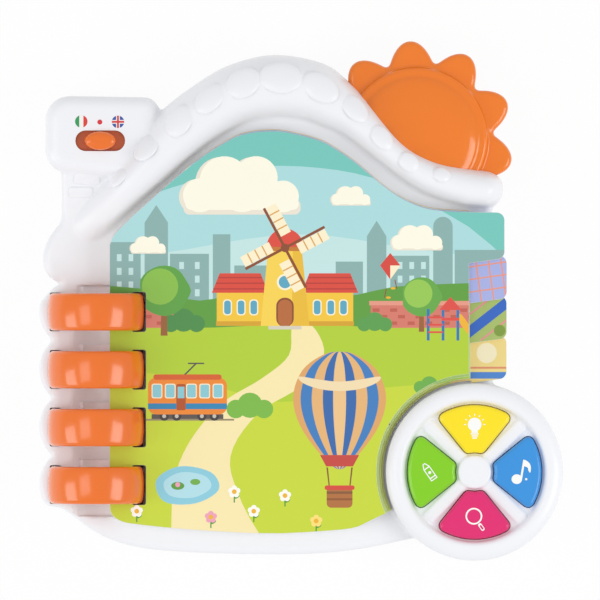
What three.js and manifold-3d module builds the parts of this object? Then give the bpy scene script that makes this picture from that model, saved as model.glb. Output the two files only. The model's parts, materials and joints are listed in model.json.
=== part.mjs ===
// Baby book: a white moulded house that lies on its back, with four thick leaves on open rings,
// an orange sun behind the roof band, a slider on the chimney and a round pod with four buttons.
// Millimetres. X to the right, Y towards the roof, Z up towards the reader. The rear face is z = 0.

import * as THREE from 'three';
import { mergeVertices } from 'three/addons/utils/BufferGeometryUtils.js';
import Module from 'manifold-3d';

const wasm = await Module();
wasm.setup();

// Clearances
const seatGap = 0.3;
const leafGap = 0.3;
const slideGap = 0.35;

// Housing: two half shells that meet at the split plane
const wall = 2.4;
const splitZ = 10;
const trayZ = 22;
const rimRound = 3;
const cellDiameter = 14.5;

// Leaves and their rings
const leafCount = 4;
const leafThickness = 2.6;
const leafPitch = leafThickness + leafGap;
const stackBottom = trayZ + leafGap;
const stackTop = stackBottom + leafCount * leafPitch - leafGap;
const hingeX = -104.9;
const hingeZ = (stackBottom + stackTop) / 2;
const leafLeft = hingeX + 7;
const leafRight = 86.4;
const leafStep = 0.4;
const tabReach = 104.6;
const tabHeight = 22.5;
const tabTop = 43.6;
const ringPitch = 29.6;
const ringFirstY = -5.8;
const ringInner = 19.9;
const ringThickness = 5;
const ringOuter = ringInner + ringThickness;
const ringWidth = 19.1;
const ringRound = 1.5;
const ringLegInset = 1.3;
const ringLegDepth = 10;
const ringLegWidth = 15;
const ringSideGap = 0.7;
const ringCentres = [0, 1, 2, 3].map((i) => ringFirstY - i * ringPitch);

// Spine trough below the hinge edge of the leaves
const troughRadius = 11.5;
const troughTop = 8;
const troughBottom = -111;
const ribRadius = 9.6;
const ribHalfWidth = 7.4;
const ribHeight = 3.4;

// Scalloped edge left of the rings
const lobeRadius = 19.1;
const lobeCentreX = -115.4;

// Roof band
const bandBaseZ = 16;
const bandArcs = 6;
const bandStations = 24;

// Chimney and its slider
const chimneyZ = 31;
const stackZ = 27;
const slotX = -102.8;
const slotY = 82;
const slotLength = 25.5;
const slotWidth = 10.6;
const knobLength = 16.2;
const knobWidth = 9.7;
const knobRise = 3.6;
const sliderTravel = 4.9;
const sliderPlate = 1.4;

// Sun
const sunX = 59.6;
const sunY = 83.3;
const sunSeatRadius = 36;
const sunSeatZ = 14;
const petalValley = 38.6;
const petalReach = 11.3;
const petalTurn = 130;
const petalCount = 10;
const petalZ = 23;
const sunDiscRadius = 36.5;
const sunDiscZ = 26;
const sunDomeRadius = 31.5;
const sunDomeZ = 31;
const lensWall = 2.2;
const lensSink = 0.4;

// Play pod
const podX = 89.2;
const podY = -87.9;
const podRadius = 45.7;
const podZ = 24;
const podMouth = 38;
const bezelRadius = 44.6;
const bezelCrestRadius = 38.6;
const bezelCrestZ = 38;
const crestBaseZ = 33;
const basinRadius = 35.4;
const basinZ = 33.6;
const bezelWall = 2;
const spokeHalf = 2.4;
const spokeRise = 1.4;
const hubRadius = 8.7;
const hubRise = 1.6;

// Buttons
const buttonInner = 9.6;
const buttonOuter = 34.3;
const buttonApex = 4.4;
const buttonHalfAngle = 39;
const buttonTopZ = 37.4;
const buttonTravel = 1.5;
const buttonGap = 0.5;
const buttonFlange = 1.1;
const flangeThickness = 1.4;
const plungerRadius = 3;
const plungerLength = 1.9;
const domeHeight = 1.7;
const boardThickness = 1.6;

// Battery bay, speaker, boards and screws
const bayX = -30;
const bayY = 25;
const bayWidth = 32;
const bayWall = 1.6;
const doorMargin = 3;
const doorThickness = 1.8;
const cellLength = 49.2;
const cellNub = 1.3;
const contactRoom = 2.75;
const bayLength = cellLength + cellNub + 2 * contactRoom;
const speakerX = 0;
const speakerY = -60;
const speakerRadius = 25;
const speakerDepth = 12;
const mainBoardX = 48;
const mainBoardY = 8;
const mainBoardSize = [56, 44];
const mainBoardZ = 8;
const screwShank = 1.3;
const screwHead = 2.8;
const screwHeadDepth = 2;
const bossRadius = 4;
const bossBore = screwShank + seatGap;
const screwSeatZ = 4;
const leadRadius = 1.2;

// Colours
const finish = {
  white: { color: 0xf4f4f2, roughness: 0.35, metalness: 0 },
  orange: { color: 0xf07a1e, roughness: 0.25, metalness: 0 },
  yellow: { color: 0xf2d21b, roughness: 0.3, metalness: 0 },
  blue: { color: 0x2f8fdc, roughness: 0.3, metalness: 0 },
  magenta: { color: 0xd93a86, roughness: 0.3, metalness: 0 },
  green: { color: 0x86c53a, roughness: 0.3, metalness: 0 },
  print: { color: 0x9fd7d2, roughness: 0.4, metalness: 0 },
  board: { color: 0x1f6b3b, roughness: 0.6, metalness: 0 },
  steel: { color: 0xb9bcc0, roughness: 0.35, metalness: 1 },
  black: { color: 0x222326, roughness: 0.7, metalness: 0 },
  silicone: { color: 0xd8d8d4, roughness: 0.8, metalness: 0 },
};

const object = new THREE.Group();

// Booleans

function toSolid(geometry) {
  const bare = geometry.clone();
  bare.deleteAttribute('normal');
  bare.deleteAttribute('uv');
  const merged = mergeVertices(bare, 1e-4);
  const mesh = new wasm.Mesh({
    numProp: 3,
    vertProperties: new Float32Array(merged.attributes.position.array),
    triVerts: new Uint32Array(merged.index.array),
  });
  return new wasm.Manifold(mesh);
}

function toGeometry(solid) {
  const mesh = solid.getMesh();
  const geometry = new THREE.BufferGeometry();
  geometry.setAttribute('position', new THREE.BufferAttribute(mesh.vertProperties, 3));
  geometry.setIndex(new THREE.BufferAttribute(mesh.triVerts, 1));
  geometry.computeVertexNormals();
  return geometry;
}

function join(solids) {
  return solids.reduce((sum, solid) => sum.add(solid));
}

function place(name, solid, look) {
  const mesh = new THREE.Mesh(toGeometry(solid), new THREE.MeshStandardMaterial(finish[look]));
  mesh.name = name;
  object.add(mesh);
}

// Outlines are lists of Vector2, counter-clockwise

function vectors(pairs) {
  return pairs.map(([x, y]) => new THREE.Vector2(x, y));
}

function smooth(pairs, divisions) {
  return new THREE.SplineCurve(vectors(pairs)).getPoints(divisions);
}

function circle(x, y, radius, segments = 40) {
  return new THREE.Path().absarc(x, y, radius, 0, 2 * Math.PI).getSpacedPoints(segments).slice(0, -1);
}

function arc(x, y, radius, fromDegrees, toDegrees, segments) {
  const points = [];
  for (let i = 0; i <= segments; i += 1) {
    const angle = THREE.MathUtils.degToRad(fromDegrees + ((toDegrees - fromDegrees) * i) / segments);
    points.push(new THREE.Vector2(x + radius * Math.cos(angle), y + radius * Math.sin(angle)));
  }
  return points;
}

function roundedRectangle(x, y, width, height, radius, segments = 3) {
  const w = width / 2 - radius;
  const h = height / 2 - radius;
  return [
    ...arc(x + w, y + h, radius, 0, 90, segments),
    ...arc(x - w, y + h, radius, 90, 180, segments),
    ...arc(x - w, y - h, radius, 180, 270, segments),
    ...arc(x + w, y - h, radius, 270, 360, segments),
  ];
}

// Moves each point of an outline outwards by the distance, or inwards where it is negative
function grown(outline, distance) {
  const count = outline.length;
  return outline.map((point, i) => {
    const before = point.clone().sub(outline[(i + count - 1) % count]).normalize();
    const after = outline[(i + 1) % count].clone().sub(point).normalize();
    const mitre = new THREE.Vector2(before.y + after.y, -before.x - after.x).normalize();
    const stretch = 1 / Math.max(0.5, mitre.x * before.y - mitre.y * before.x);
    return point.clone().addScaledVector(mitre, distance * stretch);
  });
}

// Upright slab between two heights, with both edges rounded where a round is given
function slab(outline, low, high, round = 0, holes = [], steps = 1) {
  const shape = new THREE.Shape(outline);
  holes.forEach((hole) => shape.holes.push(new THREE.Path(hole)));
  const geometry = new THREE.ExtrudeGeometry(shape, {
    depth: high - low - 2 * round,
    bevelEnabled: round > 0,
    bevelThickness: round,
    bevelSize: round,
    bevelOffset: -round,
    bevelSegments: steps,
    curveSegments: 1,
  });
  geometry.translate(0, 0, low + round);
  return toSolid(geometry);
}

function box(x, y, z, width, depth, height) {
  return toSolid(new THREE.BoxGeometry(width, depth, height).translate(x, y, z));
}

function post(x, y, low, high, radius, segments = 12) {
  const geometry = new THREE.CylinderGeometry(radius, radius, high - low, segments);
  return toSolid(geometry.rotateX(Math.PI / 2).translate(x, y, (low + high) / 2));
}

function alongY(x, z, fromY, toY, radius, segments = 32) {
  const geometry = new THREE.CylinderGeometry(radius, radius, toY - fromY, segments);
  return toSolid(geometry.translate(x, (fromY + toY) / 2, z));
}

// Turned piece about an upright axis: rows of [radius, height] from the axis back to the axis
function turned(x, y, rows, segments = 32) {
  const geometry = new THREE.LatheGeometry(vectors(rows), segments);
  return toSolid(geometry.rotateX(Math.PI / 2).translate(x, y, 0));
}

// Plan outlines of the housing

const bandRows = [
  { outer: [-121.5, 41.0], inner: [-108.5, 25.0], crown: 21.4 },
  { outer: [-109.5, 53.0], inner: [-97.0, 35.5], crown: 30 },
  { outer: [-98.3, 63.9], inner: [-83.4, 49.0], crown: 35 },
  { outer: [-86.5, 77.5], inner: [-71.6, 59.3], crown: 37 },
  { outer: [-72.8, 96.2], inner: [-54.0, 74.5], crown: 38 },
  { outer: [-55.9, 109.9], inner: [-42.0, 83.5], crown: 39 },
  { outer: [-37.0, 121.0], inner: [-27.0, 91.7], crown: 40 },
  { outer: [-13.6, 126.4], inner: [-12.6, 94.0], crown: 40 },
  { outer: [11.0, 122.2], inner: [0.5, 93.1], crown: 40 },
  { outer: [24.5, 112.9], inner: [11.5, 89.4], crown: 39 },
  { outer: [36.5, 100.5], inner: [21.5, 85.1], crown: 38 },
  { outer: [53.6, 81.4], inner: [41.0, 70.2], crown: 37 },
  { outer: [68.5, 73.0], inner: [60.5, 56.2], crown: 37 },
  { outer: [84.6, 68.9], inner: [81.0, 48.9], crown: 37 },
  { outer: [95.6, 66.9], inner: [93.6, 47.4], crown: 36.5 },
];

function bandEdge(key) {
  return smooth(bandRows.map((row) => row[key]), bandStations);
}

const outerEdge = bandEdge('outer');
const innerEdge = bandEdge('inner');
const crownLine = smooth(bandRows.map((row, i) => [i, row.crown]), bandStations).map((p) => p.y);
const bandStart = outerEdge[0].clone().lerp(innerEdge[0], 0.5);
const bandEnd = outerEdge[bandStations].clone().lerp(innerEdge[bandStations], 0.5);
const startHalf = outerEdge[0].distanceTo(innerEdge[0]) / 2;
const endHalf = outerEdge[bandStations].distanceTo(innerEdge[bandStations]) / 2;

const bandOutline = [
  ...innerEdge,
  ...arc(bandEnd.x, bandEnd.y, endHalf, -84, 72, 6).slice(1),
  ...outerEdge.slice(0, -1).reverse(),
  ...arc(bandStart.x, bandStart.y, startHalf, 146, 296, 6).slice(0, -1),
];

function lobeEdge() {
  const points = [];
  const spread = 0.94 * THREE.MathUtils.radToDeg(Math.asin(ringPitch / 2 / lobeRadius));
  ringCentres.forEach((y, i) => {
    const end = i < ringCentres.length - 1 ? spread : 30;
    points.push(...arc(lobeCentreX, y, lobeRadius, 180 - spread, 180 + end, 5));
  });
  return points;
}

const lastRing = ringCentres[ringCentres.length - 1];
const trayOutline = [
  ...smooth([[-98, 45], [-113, 44], [-126.6, 34], [-132.2, 22], [-130.4, 13.4]], 10),
  ...lobeEdge(),
  ...smooth([
    [-129.4, lastRing - 11.3], [-123.6, lastRing - 12], [-117.3, lastRing - 16], [-103.1, lastRing - 25.9],
    [-81.4, -127.2], [-46, -129.9], [0, -130.4], [29.5, -127.9], [57.1, -122.4],
  ], 16),
  ...vectors([[76, -92], [98.7, -58], [98.7, 54]]),
  ...bandRows.slice(1, 14).reverse().map((row) => new THREE.Vector2(
    (row.outer[0] + row.inner[0]) / 2,
    (row.outer[1] + row.inner[1]) / 2,
  )),
];
const podOutline = circle(podX, podY, podRadius, 36);
const chimneyOutline = [
  ...arc(-80.5, 96.5, 8, 0, 90, 4),
  ...arc(-121.5, 95.5, 9.6, 90, 180, 4),
  ...arc(-120, 77, 11.1, 180, 262, 4),
  ...vectors([[-104, 64], [-84, 62], [-74, 80]]),
];
const stackOutline = [
  ...vectors([[-90, 62], [-94, 70]]),
  ...arc(-119.7, 70, 3, 90, 180, 2),
  ...arc(-119.7, 50.5, 3, 180, 250, 2),
  ...vectors([[-112, 44.5], [-104, 44]]),
];
const sunSeatOutline = circle(sunX, sunY, sunSeatRadius, 32);

// Domed band over the roof; the inset is the wall that is taken off for its inside
function bandDome(inset) {
  const positions = [];
  const ringSize = bandArcs + 3;
  outerEdge.forEach((outerPoint, i) => {
    const middle = outerPoint.clone().lerp(innerEdge[i], 0.5);
    const half = outerPoint.distanceTo(innerEdge[i]) / 2 - inset;
    const across = outerPoint.clone().sub(innerEdge[i]).normalize();
    const rise = crownLine[i] - inset - bandBaseZ;
    const section = [[-half, splitZ + 1]];
    for (let j = 0; j <= bandArcs; j += 1) {
      const angle = Math.PI - (Math.PI * j) / bandArcs;
      section.push([half * Math.cos(angle), bandBaseZ + rise * Math.sin(angle)]);
    }
    section.push([half, splitZ + 1]);
    section.forEach(([s, z]) => positions.push(middle.x + across.x * s, middle.y + across.y * s, z));
  });
  const index = [];
  for (let i = 0; i < bandStations; i += 1) {
    for (let j = 0; j < ringSize; j += 1) {
      const a = i * ringSize + j;
      const b = i * ringSize + ((j + 1) % ringSize);
      index.push(a, b, b + ringSize, a, b + ringSize, a + ringSize);
    }
  }
  const last = bandStations * ringSize;
  for (let j = 1; j < ringSize - 1; j += 1) {
    index.push(0, j + 1, j, last, last + j, last + j + 1);
  }
  const geometry = new THREE.BufferGeometry();
  geometry.setAttribute('position', new THREE.Float32BufferAttribute(positions, 3));
  geometry.setIndex(index);
  const ends = [[bandStart, startHalf, crownLine[0]], [bandEnd, endHalf, crownLine[bandStations]]];
  const caps = ends.map(([at, half, crown]) => {
    const ball = new THREE.SphereGeometry(1, 14, 6).rotateX(Math.PI / 2);
    ball.scale(half - inset, half - inset, crown - inset - bandBaseZ);
    ball.translate(at.x, at.y, bandBaseZ);
    return toSolid(ball).add(post(at.x, at.y, splitZ + 1, bandBaseZ, half - inset, 14));
  });
  const dome = toSolid(geometry);
  return join([dome.volume() > 0 ? dome : toSolid(flipped(geometry)), ...caps]);
}

function flipped(geometry) {
  const copy = geometry.clone();
  const index = Array.from(copy.index.array);
  for (let i = 0; i < index.length; i += 3) {
    [index[i + 1], index[i + 2]] = [index[i + 2], index[i + 1]];
  }
  copy.setIndex(index);
  return copy;
}

// Whole housing as one block, drawn in by the inset
function housingBlock(inset) {
  const low = inset;
  const round = inset > 0 ? 0 : rimRound;
  const plate = (outline, top) => slab(grown(outline, -inset), low, top - inset, round);
  return join([
    plate(trayOutline, trayZ),
    plate(bandOutline, trayZ),
    plate(podOutline, podZ),
    plate(chimneyOutline, chimneyZ),
    plate(stackOutline, stackZ),
    plate(sunSeatOutline, sunSeatZ),
    bandDome(inset),
  ]).subtract(alongY(hingeX, hingeZ, troughBottom - inset, troughTop + inset, troughRadius + inset, 20));
}

const outerBlock = housingBlock(0);
const innerBlock = housingBlock(wall);
const aboveSplit = box(0, 0, splitZ + seatGap / 2 + 50, 400, 400, 100);
const belowSplit = box(0, 0, splitZ - seatGap / 2 - 50, 400, 400, 100);

// Housing screws, from the rear into posts of the front shell
const screwPlaces = [
  [-121.5, 96.5], [-104, 24], [-82, -117], [20, -120],
  [85, -30], [90, 56], [-8, 109], [112.5, -118.5],
];

// Front shell

function ribs() {
  return ringCentres.map((y) => {
    const top = y + ringWidth / 2 + ribHeight;
    const height = 2 * ribHeight;
    return alongY(hingeX, hingeZ, top - height, top, troughRadius + 1.2, 40)
      .intersect(box(hingeX, top - height / 2, trayZ - 5, 2 * ribHalfWidth, height, 10))
      .subtract(alongY(hingeX, hingeZ, top - height - 1, top + 1, ribRadius, 40));
  });
}

function ringSlots() {
  const inner = ringInner - 1.4;
  const outer = ringOuter - ringLegInset + slideGap;
  const holes = [];
  ringCentres.forEach((y) => [-1, 1].forEach((side) => {
    const x = hingeX + (side * (inner + outer)) / 2;
    holes.push(box(x, y, trayZ, outer - inner, ringWidth + 2 * slideGap, 12));
  }));
  return holes;
}

// Bead places along the band, as a share of its length, with their radii across and along
const beads = [
  [0.165, 6.4, 4.2], [0.245, 8.2, 6.0], [0.325, 8.2, 6.6], [0.405, 8.0, 7.0], [0.485, 7.8, 8.0],
  [0.56, 8.2, 9.2], [0.645, 8.2, 9.0], [0.725, 7.4, 7.2], [0.79, 6.2, 6.2], [0.855, 4.7, 5.6], [0.93, 4.1, 4.3],
];
const beadRise = 1.6;

function beadSolids() {
  return beads.map(([share, across, along]) => {
    const at = share * bandStations;
    const i = Math.min(Math.floor(at), bandStations - 1);
    const outerPoint = outerEdge[i].clone().lerp(outerEdge[i + 1], at - i);
    const innerPoint = innerEdge[i].clone().lerp(innerEdge[i + 1], at - i);
    const middle = outerPoint.clone().lerp(innerPoint, 0.5);
    const direction = outerPoint.clone().sub(innerPoint);
    const ball = new THREE.SphereGeometry(1, 10, 6).rotateX(Math.PI / 2);
    ball.scale(across, along, 5);
    ball.rotateZ(Math.atan2(direction.y, direction.x));
    ball.translate(middle.x, middle.y, crownLine[i] + beadRise - 5);
    return toSolid(ball);
  });
}

const boardPosts = [-1, 1].map((side) => [slotX + side * 6, slotY + side * (slotWidth / 2 + 5.4)]);
const switchBoardTop = chimneyZ - 12;

function frontShell() {
  const bosses = screwPlaces.map(([x, y]) => post(x, y, splitZ + seatGap / 2, chimneyZ + 9, bossRadius));
  const bores = screwPlaces.map(([x, y]) => post(x, y, 0, splitZ + 8, bossBore));
  const hangers = boardPosts.map(([x, y]) => post(x, y, switchBoardTop + seatGap, chimneyZ - 1, 2.4));
  const outside = outerBlock.add(join(beadSolids())).add(join(ribs()));
  const inside = innerBlock.subtract(join(ribs()));
  const shell = outside.subtract(inside)
    .add(join([...bosses, ...hangers]).intersect(outerBlock))
    .subtract(join(bores))
    .subtract(join(ringSlots()))
    .subtract(post(podX, podY, podZ - 8, podZ + 4, podMouth, 48))
    .subtract(slab(roundedRectangle(slotX, slotY, slotLength, slotWidth, slotWidth / 2 - 0.2, 5), 28, 50))
    .subtract(post(sunX, sunY, sunSeatZ - 6, sunSeatZ + 4, 10, 24).intersect(sunSide))
    .subtract(landedLeaf());
  return shell.intersect(aboveSplit);
}

// Sun lens: petals, disc step and dome, clipped along the band

const sunSide = box(sunX + 60, sunY + 60, 20, 200, 200, 60).subtract(slab(grown(bandOutline, 1), 0, 60));

function petalOutline(shrink) {
  const points = [];
  const steps = petalCount * 8;
  for (let i = 0; i < steps; i += 1) {
    const angle = (2 * Math.PI * i) / steps;
    const wave = Math.abs(Math.cos((petalCount / 2) * (angle - THREE.MathUtils.degToRad(petalTurn))));
    const radius = petalValley + petalReach * wave ** 0.8 - shrink;
    points.push(new THREE.Vector2(sunX + radius * Math.cos(angle), sunY + radius * Math.sin(angle)));
  }
  return points;
}

function sunDome(radius, low, high) {
  const rows = [[0, low - 2], [radius, low - 2]];
  for (let i = 0; i <= 6; i += 1) {
    const angle = (Math.PI / 2) * (i / 6);
    rows.push([radius * Math.cos(angle), low + (high - low) * Math.sin(angle)]);
  }
  rows[rows.length - 1][0] = 0;
  return turned(sunX, sunY, rows, 40);
}

function sunLens() {
  const low = sunSeatZ + seatGap;
  const outside = join([
    slab(petalOutline(0), low, petalZ, 2.4),
    slab(circle(sunX, sunY, sunDiscRadius, 48), low + 2, sunDiscZ, 1.5),
    sunDome(sunDomeRadius, sunDiscZ, sunDomeZ),
  ]);
  const inside = join([
    slab(petalOutline(lensWall), low - 1, petalZ - lensWall),
    slab(circle(sunX, sunY, sunDiscRadius - lensWall, 48), low, sunDiscZ - lensWall),
    sunDome(sunDomeRadius - lensWall, sunDiscZ - lensWall, sunDomeZ - lensWall),
  ]);
  const house = join([
    slab(grown(bandOutline, lensSink), 0, 60),
    slab(grown(trayOutline, lensSink), 0, 60),
  ]);
  const clipped = outside.subtract(inside).subtract(house);
  return clipped.decompose().sort((a, b) => b.volume() - a.volume())[0];
}

// Rear shell

function speakerGrille() {
  const holes = [post(speakerX, speakerY, -1, wall + 1, 1.6, 8)];
  [1, 2].forEach((row) => {
    for (let i = 0; i < row * 6; i += 1) {
      const angle = (2 * Math.PI * i) / (row * 6);
      const radius = row * 7.5;
      holes.push(post(speakerX + radius * Math.cos(angle), speakerY + radius * Math.sin(angle), -1, wall + 1, 1.6, 8));
    }
  });
  return holes;
}

const bayRoofZ = cellDiameter + doorThickness + 3 * seatGap;
const doorLength = bayLength + 2 * doorMargin;
const doorWidth = bayWidth + 2 * doorMargin;
const mainBoardPosts = [[-1, -1], [1, -1], [1, 1], [-1, 1]].map(([i, j]) => [
  mainBoardX + i * (mainBoardSize[0] / 2 - 5),
  mainBoardY + j * (mainBoardSize[1] / 2 - 5),
]);

function rearShell() {
  const floor = wall;
  const pads = [
    box(bayX, bayY, 1.8, doorLength + 6, doorWidth + 6, 3.6),
    box(bayX, bayY, (bayRoofZ + bayWall) / 2 + 0.5, bayLength + 2 * bayWall, bayWidth + 2 * bayWall,
      bayRoofZ + bayWall - 1),
    post(speakerX, speakerY, floor - 1, splitZ - 1.5, speakerRadius + 2, 32)
      .subtract(post(speakerX, speakerY, 0, splitZ, speakerRadius + slideGap, 32)),
    ...mainBoardPosts.map(([x, y]) => post(x, y, floor - 1, mainBoardZ - seatGap, 3)),
  ];
  const bosses = screwPlaces.map(([x, y]) => post(x, y, floor - 1, splitZ - seatGap / 2, bossRadius));
  const cuts = [
    box(bayX, bayY, bayRoofZ / 2 - 1, bayLength, bayWidth, bayRoofZ + 2),
    box(bayX, bayY, doorThickness / 2 - 1 + seatGap / 2, doorLength + 2 * slideGap, doorWidth + 2 * slideGap,
      doorThickness + 2 + seatGap),
    ...screwPlaces.map(([x, y]) => post(x, y, -1, splitZ + 5, bossBore)),
    ...screwPlaces.map(([x, y]) => post(x, y, -1, screwSeatZ, screwHead + seatGap)),
    post(bayX, bayY + bayWidth / 2 + 1.3, doorThickness, 12, 1.1, 12),
    ...speakerGrille(),
  ];
  const lower = outerBlock.subtract(innerBlock).intersect(belowSplit);
  const inner = join([...pads, ...bosses]).intersect(join([outerBlock, box(bayX, bayY, 10, 70, 50, 20)]));
  return lower.add(inner).subtract(join(cuts)).intersect(box(0, 0, 50, 400, 400, 100));
}

// Ring: half hoop with straight legs that pass through the tray

function ringOutline() {
  const shoulder = trayZ + seatGap - hingeZ;
  const foot = trayZ - ringLegDepth - hingeZ;
  const legOuter = ringOuter - ringLegInset;
  return [
    ...vectors([[ringInner, foot], [legOuter, foot], [legOuter, shoulder], [ringOuter, shoulder]]),
    ...arc(0, 0, ringOuter, 0, 180, 14),
    ...vectors([[-ringOuter, shoulder], [-legOuter, shoulder], [-legOuter, foot], [-ringInner, foot]]),
    ...arc(0, 0, ringInner, 180, 0, 14),
  ];
}

function ring(y) {
  const flat = slab(ringOutline(), -ringWidth / 2, ringWidth / 2, ringRound);
  const legRoom = trayZ + seatGap - 10;
  const sides = [-1, 1].map((side) => box(hingeX, y + side * (ringLegWidth / 2 + 5), legRoom, 60, 10, 20));
  return flat.rotate([90, 0, 0]).translate([hingeX, y, hingeZ]).subtract(join(sides));
}

// Leaves: leaf 1 is the cover on top, leaf 4 lies on the tray

const leafCrown = [
  [86.4, 45.2], [68.8, 46.4], [59, 49], [49.2, 53.9], [39.3, 61.3], [29.5, 69.6], [19.7, 76.5], [9.8, 81.9],
  [-6.7, 86.2], [-16.5, 86.8], [-26.4, 85.8], [-36.2, 82.4], [-55.9, 69.6], [-81.4, 47.5], [-91.3, 38.1],
  [-96.1, 32.9], [-97.9, 28.5],
];
const leafFoot = [
  [-97.9, -104.2], [-97.1, -109.2], [-93.2, -112.6], [-85.4, -114.6], [-55.9, -117.5], [-16.5, -119.5],
  [14.8, -118], [27.6, -116.5], [33.5, -114],
];
const leafPodGap = 4.6;

function leafOutline(k) {
  const extra = (k - 1) * leafStep;
  const top = tabTop + extra - (k - 1) * (tabHeight - 1.6);
  const bottom = top - tabHeight;
  const reach = tabReach + (k > 1 ? 1.2 : 0);
  const podReach = podRadius + leafPodGap - extra;
  const right = leafRight + extra;
  const crown = smooth(leafCrown, 22).map((p) => p.clone().add(new THREE.Vector2(0, extra)));
  crown.forEach((p) => { p.x = Math.max(p.x, leafLeft); });
  const tab = [
    ...vectors([[right, bottom - 2]]),
    ...arc(reach - 4, bottom + 4, 4, 270, 360, 4),
    ...arc(reach - 4, top - 4 + (k === 1 ? 1.6 : 0), 4, 0, 90, 4),
  ];
  const head = k === 1 ? [] : vectors([[right, top + 2]]);
  const start = THREE.MathUtils.radToDeg(Math.acos((right - podX) / podReach));
  const pod = arc(podX, podY, podReach, 205, start, 14);
  return [
    ...smooth(leafFoot, 10).map((p) => new THREE.Vector2(Math.max(p.x, leafLeft), p.y)),
    ...pod,
    ...tab,
    ...head,
    ...(k === 1 ? crown.slice(1) : crown),
  ];
}

const leafSlotInner = ringInner - 1.5;
const leafSlotOuter = ringOuter + slideGap + 0.35;

function leafSlots() {
  const middle = hingeX + (leafSlotInner + leafSlotOuter) / 2;
  const width = leafSlotOuter - leafSlotInner;
  return ringCentres.map((y) => roundedRectangle(middle, y, width, ringWidth + 2 * ringSideGap, 1.2, 1).reverse());
}

function leaf(k) {
  const low = stackBottom + (leafCount - k) * leafPitch;
  return slab(leafOutline(k), low, low + leafThickness, 0, leafSlots());
}

// Room that the turned leaves take on the left of the hinge
function landedLeaf() {
  const outline = grown(leafOutline(1), 1.8);
  const mirrored = outline.map((p) => new THREE.Vector2(2 * hingeX - p.x, p.y)).reverse();
  return slab(mirrored, trayZ, hingeZ + ringOuter);
}

// Play pod cover

function wedgeOutline(turn, grow) {
  const half = THREE.MathUtils.degToRad(buttonHalfAngle);
  const apex = new THREE.Vector2(buttonInner - buttonApex / Math.tan(half), 0);
  const sideAt = (x) => (x - apex.x) * Math.tan(half);
  const cornerX = 27.4;
  const corner = sideAt(cornerX);
  const tip = Math.atan2(corner - 2.6, Math.sqrt(buttonOuter ** 2 - (corner - 2.6) ** 2));
  const outerArc = arc(0, 0, buttonOuter, -THREE.MathUtils.radToDeg(tip), THREE.MathUtils.radToDeg(tip), 10);
  const raw = [
    new THREE.Vector2(buttonInner, -buttonApex + 1),
    new THREE.Vector2(buttonInner + 1, -sideAt(buttonInner + 1)),
    new THREE.Vector2(cornerX - 1.6, -sideAt(cornerX - 1.6)),
    new THREE.Vector2(cornerX + 0.4, -corner - 0.2),
    ...outerArc,
    new THREE.Vector2(cornerX + 0.4, corner + 0.2),
    new THREE.Vector2(cornerX - 1.6, sideAt(cornerX - 1.6)),
    new THREE.Vector2(buttonInner + 1, sideAt(buttonInner + 1)),
    new THREE.Vector2(buttonInner, buttonApex - 1),
  ];
  const angle = THREE.MathUtils.degToRad(turn);
  const centre = new THREE.Vector2(podX, podY);
  const origin = new THREE.Vector2();
  return grown(raw, grow).map((p) => p.clone().rotateAround(origin, angle).add(centre));
}

const buttonNames = [
  ['button_note', 'blue', 0],
  ['button_lamp', 'yellow', 90],
  ['button_pencil', 'green', 180],
  ['button_glass', 'magenta', 270],
];
const flangeTopZ = basinZ - bezelWall - seatGap;
const plungerTipZ = flangeTopZ - flangeThickness - plungerLength;
const buttonBoardTop = plungerTipZ - seatGap - domeHeight;
const buttonCentre = 23;
const boardScrewRadius = 24;
const boardScrews = [45, 135, 225, 315].map((turn) => {
  const angle = THREE.MathUtils.degToRad(turn);
  return [podX + boardScrewRadius * Math.cos(angle), podY + boardScrewRadius * Math.sin(angle)];
});

// Half section of the cover: flat basin, rounded crest and upright rim
function bezelProfile(inset) {
  const crest = (degrees) => {
    const angle = THREE.MathUtils.degToRad(degrees);
    const span = degrees > 90 ? bezelCrestRadius - basinRadius : bezelRadius - bezelCrestRadius;
    return [
      bezelCrestRadius + (span - inset) * Math.cos(angle),
      crestBaseZ + (bezelCrestZ - crestBaseZ - inset) * Math.sin(angle),
    ];
  };
  const base = inset > 0 ? podZ - 2 : podZ + seatGap;
  const basinEdge = [crest(180)[0], basinZ - inset];
  return [
    [0, base], [bezelRadius - inset, base],
    ...[0, 30, 60, 90, 120, 150, 170].map(crest),
    basinEdge, [0, basinZ - inset],
  ];
}

function controlBezel() {
  const skin = turned(podX, podY, bezelProfile(0), 40).subtract(turned(podX, podY, bezelProfile(bezelWall), 40));
  const spokes = [45, 135].map((turn) => box(0, 0, basinZ + spokeRise / 2 - 0.4, 2 * basinRadius, 2 * spokeHalf,
    spokeRise + 0.8).rotate([0, 0, turn]).translate([podX, podY, 0]));
  const hub = post(podX, podY, basinZ - 1, basinZ + hubRise, hubRadius, 32);
  const posts = boardScrews.map(([x, y]) => post(x, y, buttonBoardTop + seatGap, basinZ - 1, 2.6));
  const bores = boardScrews.map(([x, y]) => post(x, y, buttonBoardTop - 1, basinZ - 2, bossBore));
  const windows = buttonNames.map(([, , turn]) => slab(wedgeOutline(turn, buttonGap), 20, 60));
  return skin.add(join([...spokes, hub, ...posts])).subtract(join([...bores, ...windows]));
}

function button(turn) {
  const angle = THREE.MathUtils.degToRad(turn);
  const x = podX + buttonCentre * Math.cos(angle);
  const y = podY + buttonCentre * Math.sin(angle);
  const flangeLow = flangeTopZ - flangeThickness;
  const cap = slab(wedgeOutline(turn, 0), flangeLow - 3, buttonTopZ, 1.4);
  const flange = slab(wedgeOutline(turn, buttonFlange), flangeLow, flangeTopZ);
  const hollow = slab(wedgeOutline(turn, -1.8), flangeLow - 4, buttonTopZ - 1.8);
  const under = box(podX, podY, flangeLow - 5, 120, 120, 10);
  const plunger = post(x, y, plungerTipZ, buttonTopZ - 1, plungerRadius);
  return cap.subtract(under).add(flange).subtract(hollow).add(plunger);
}

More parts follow.
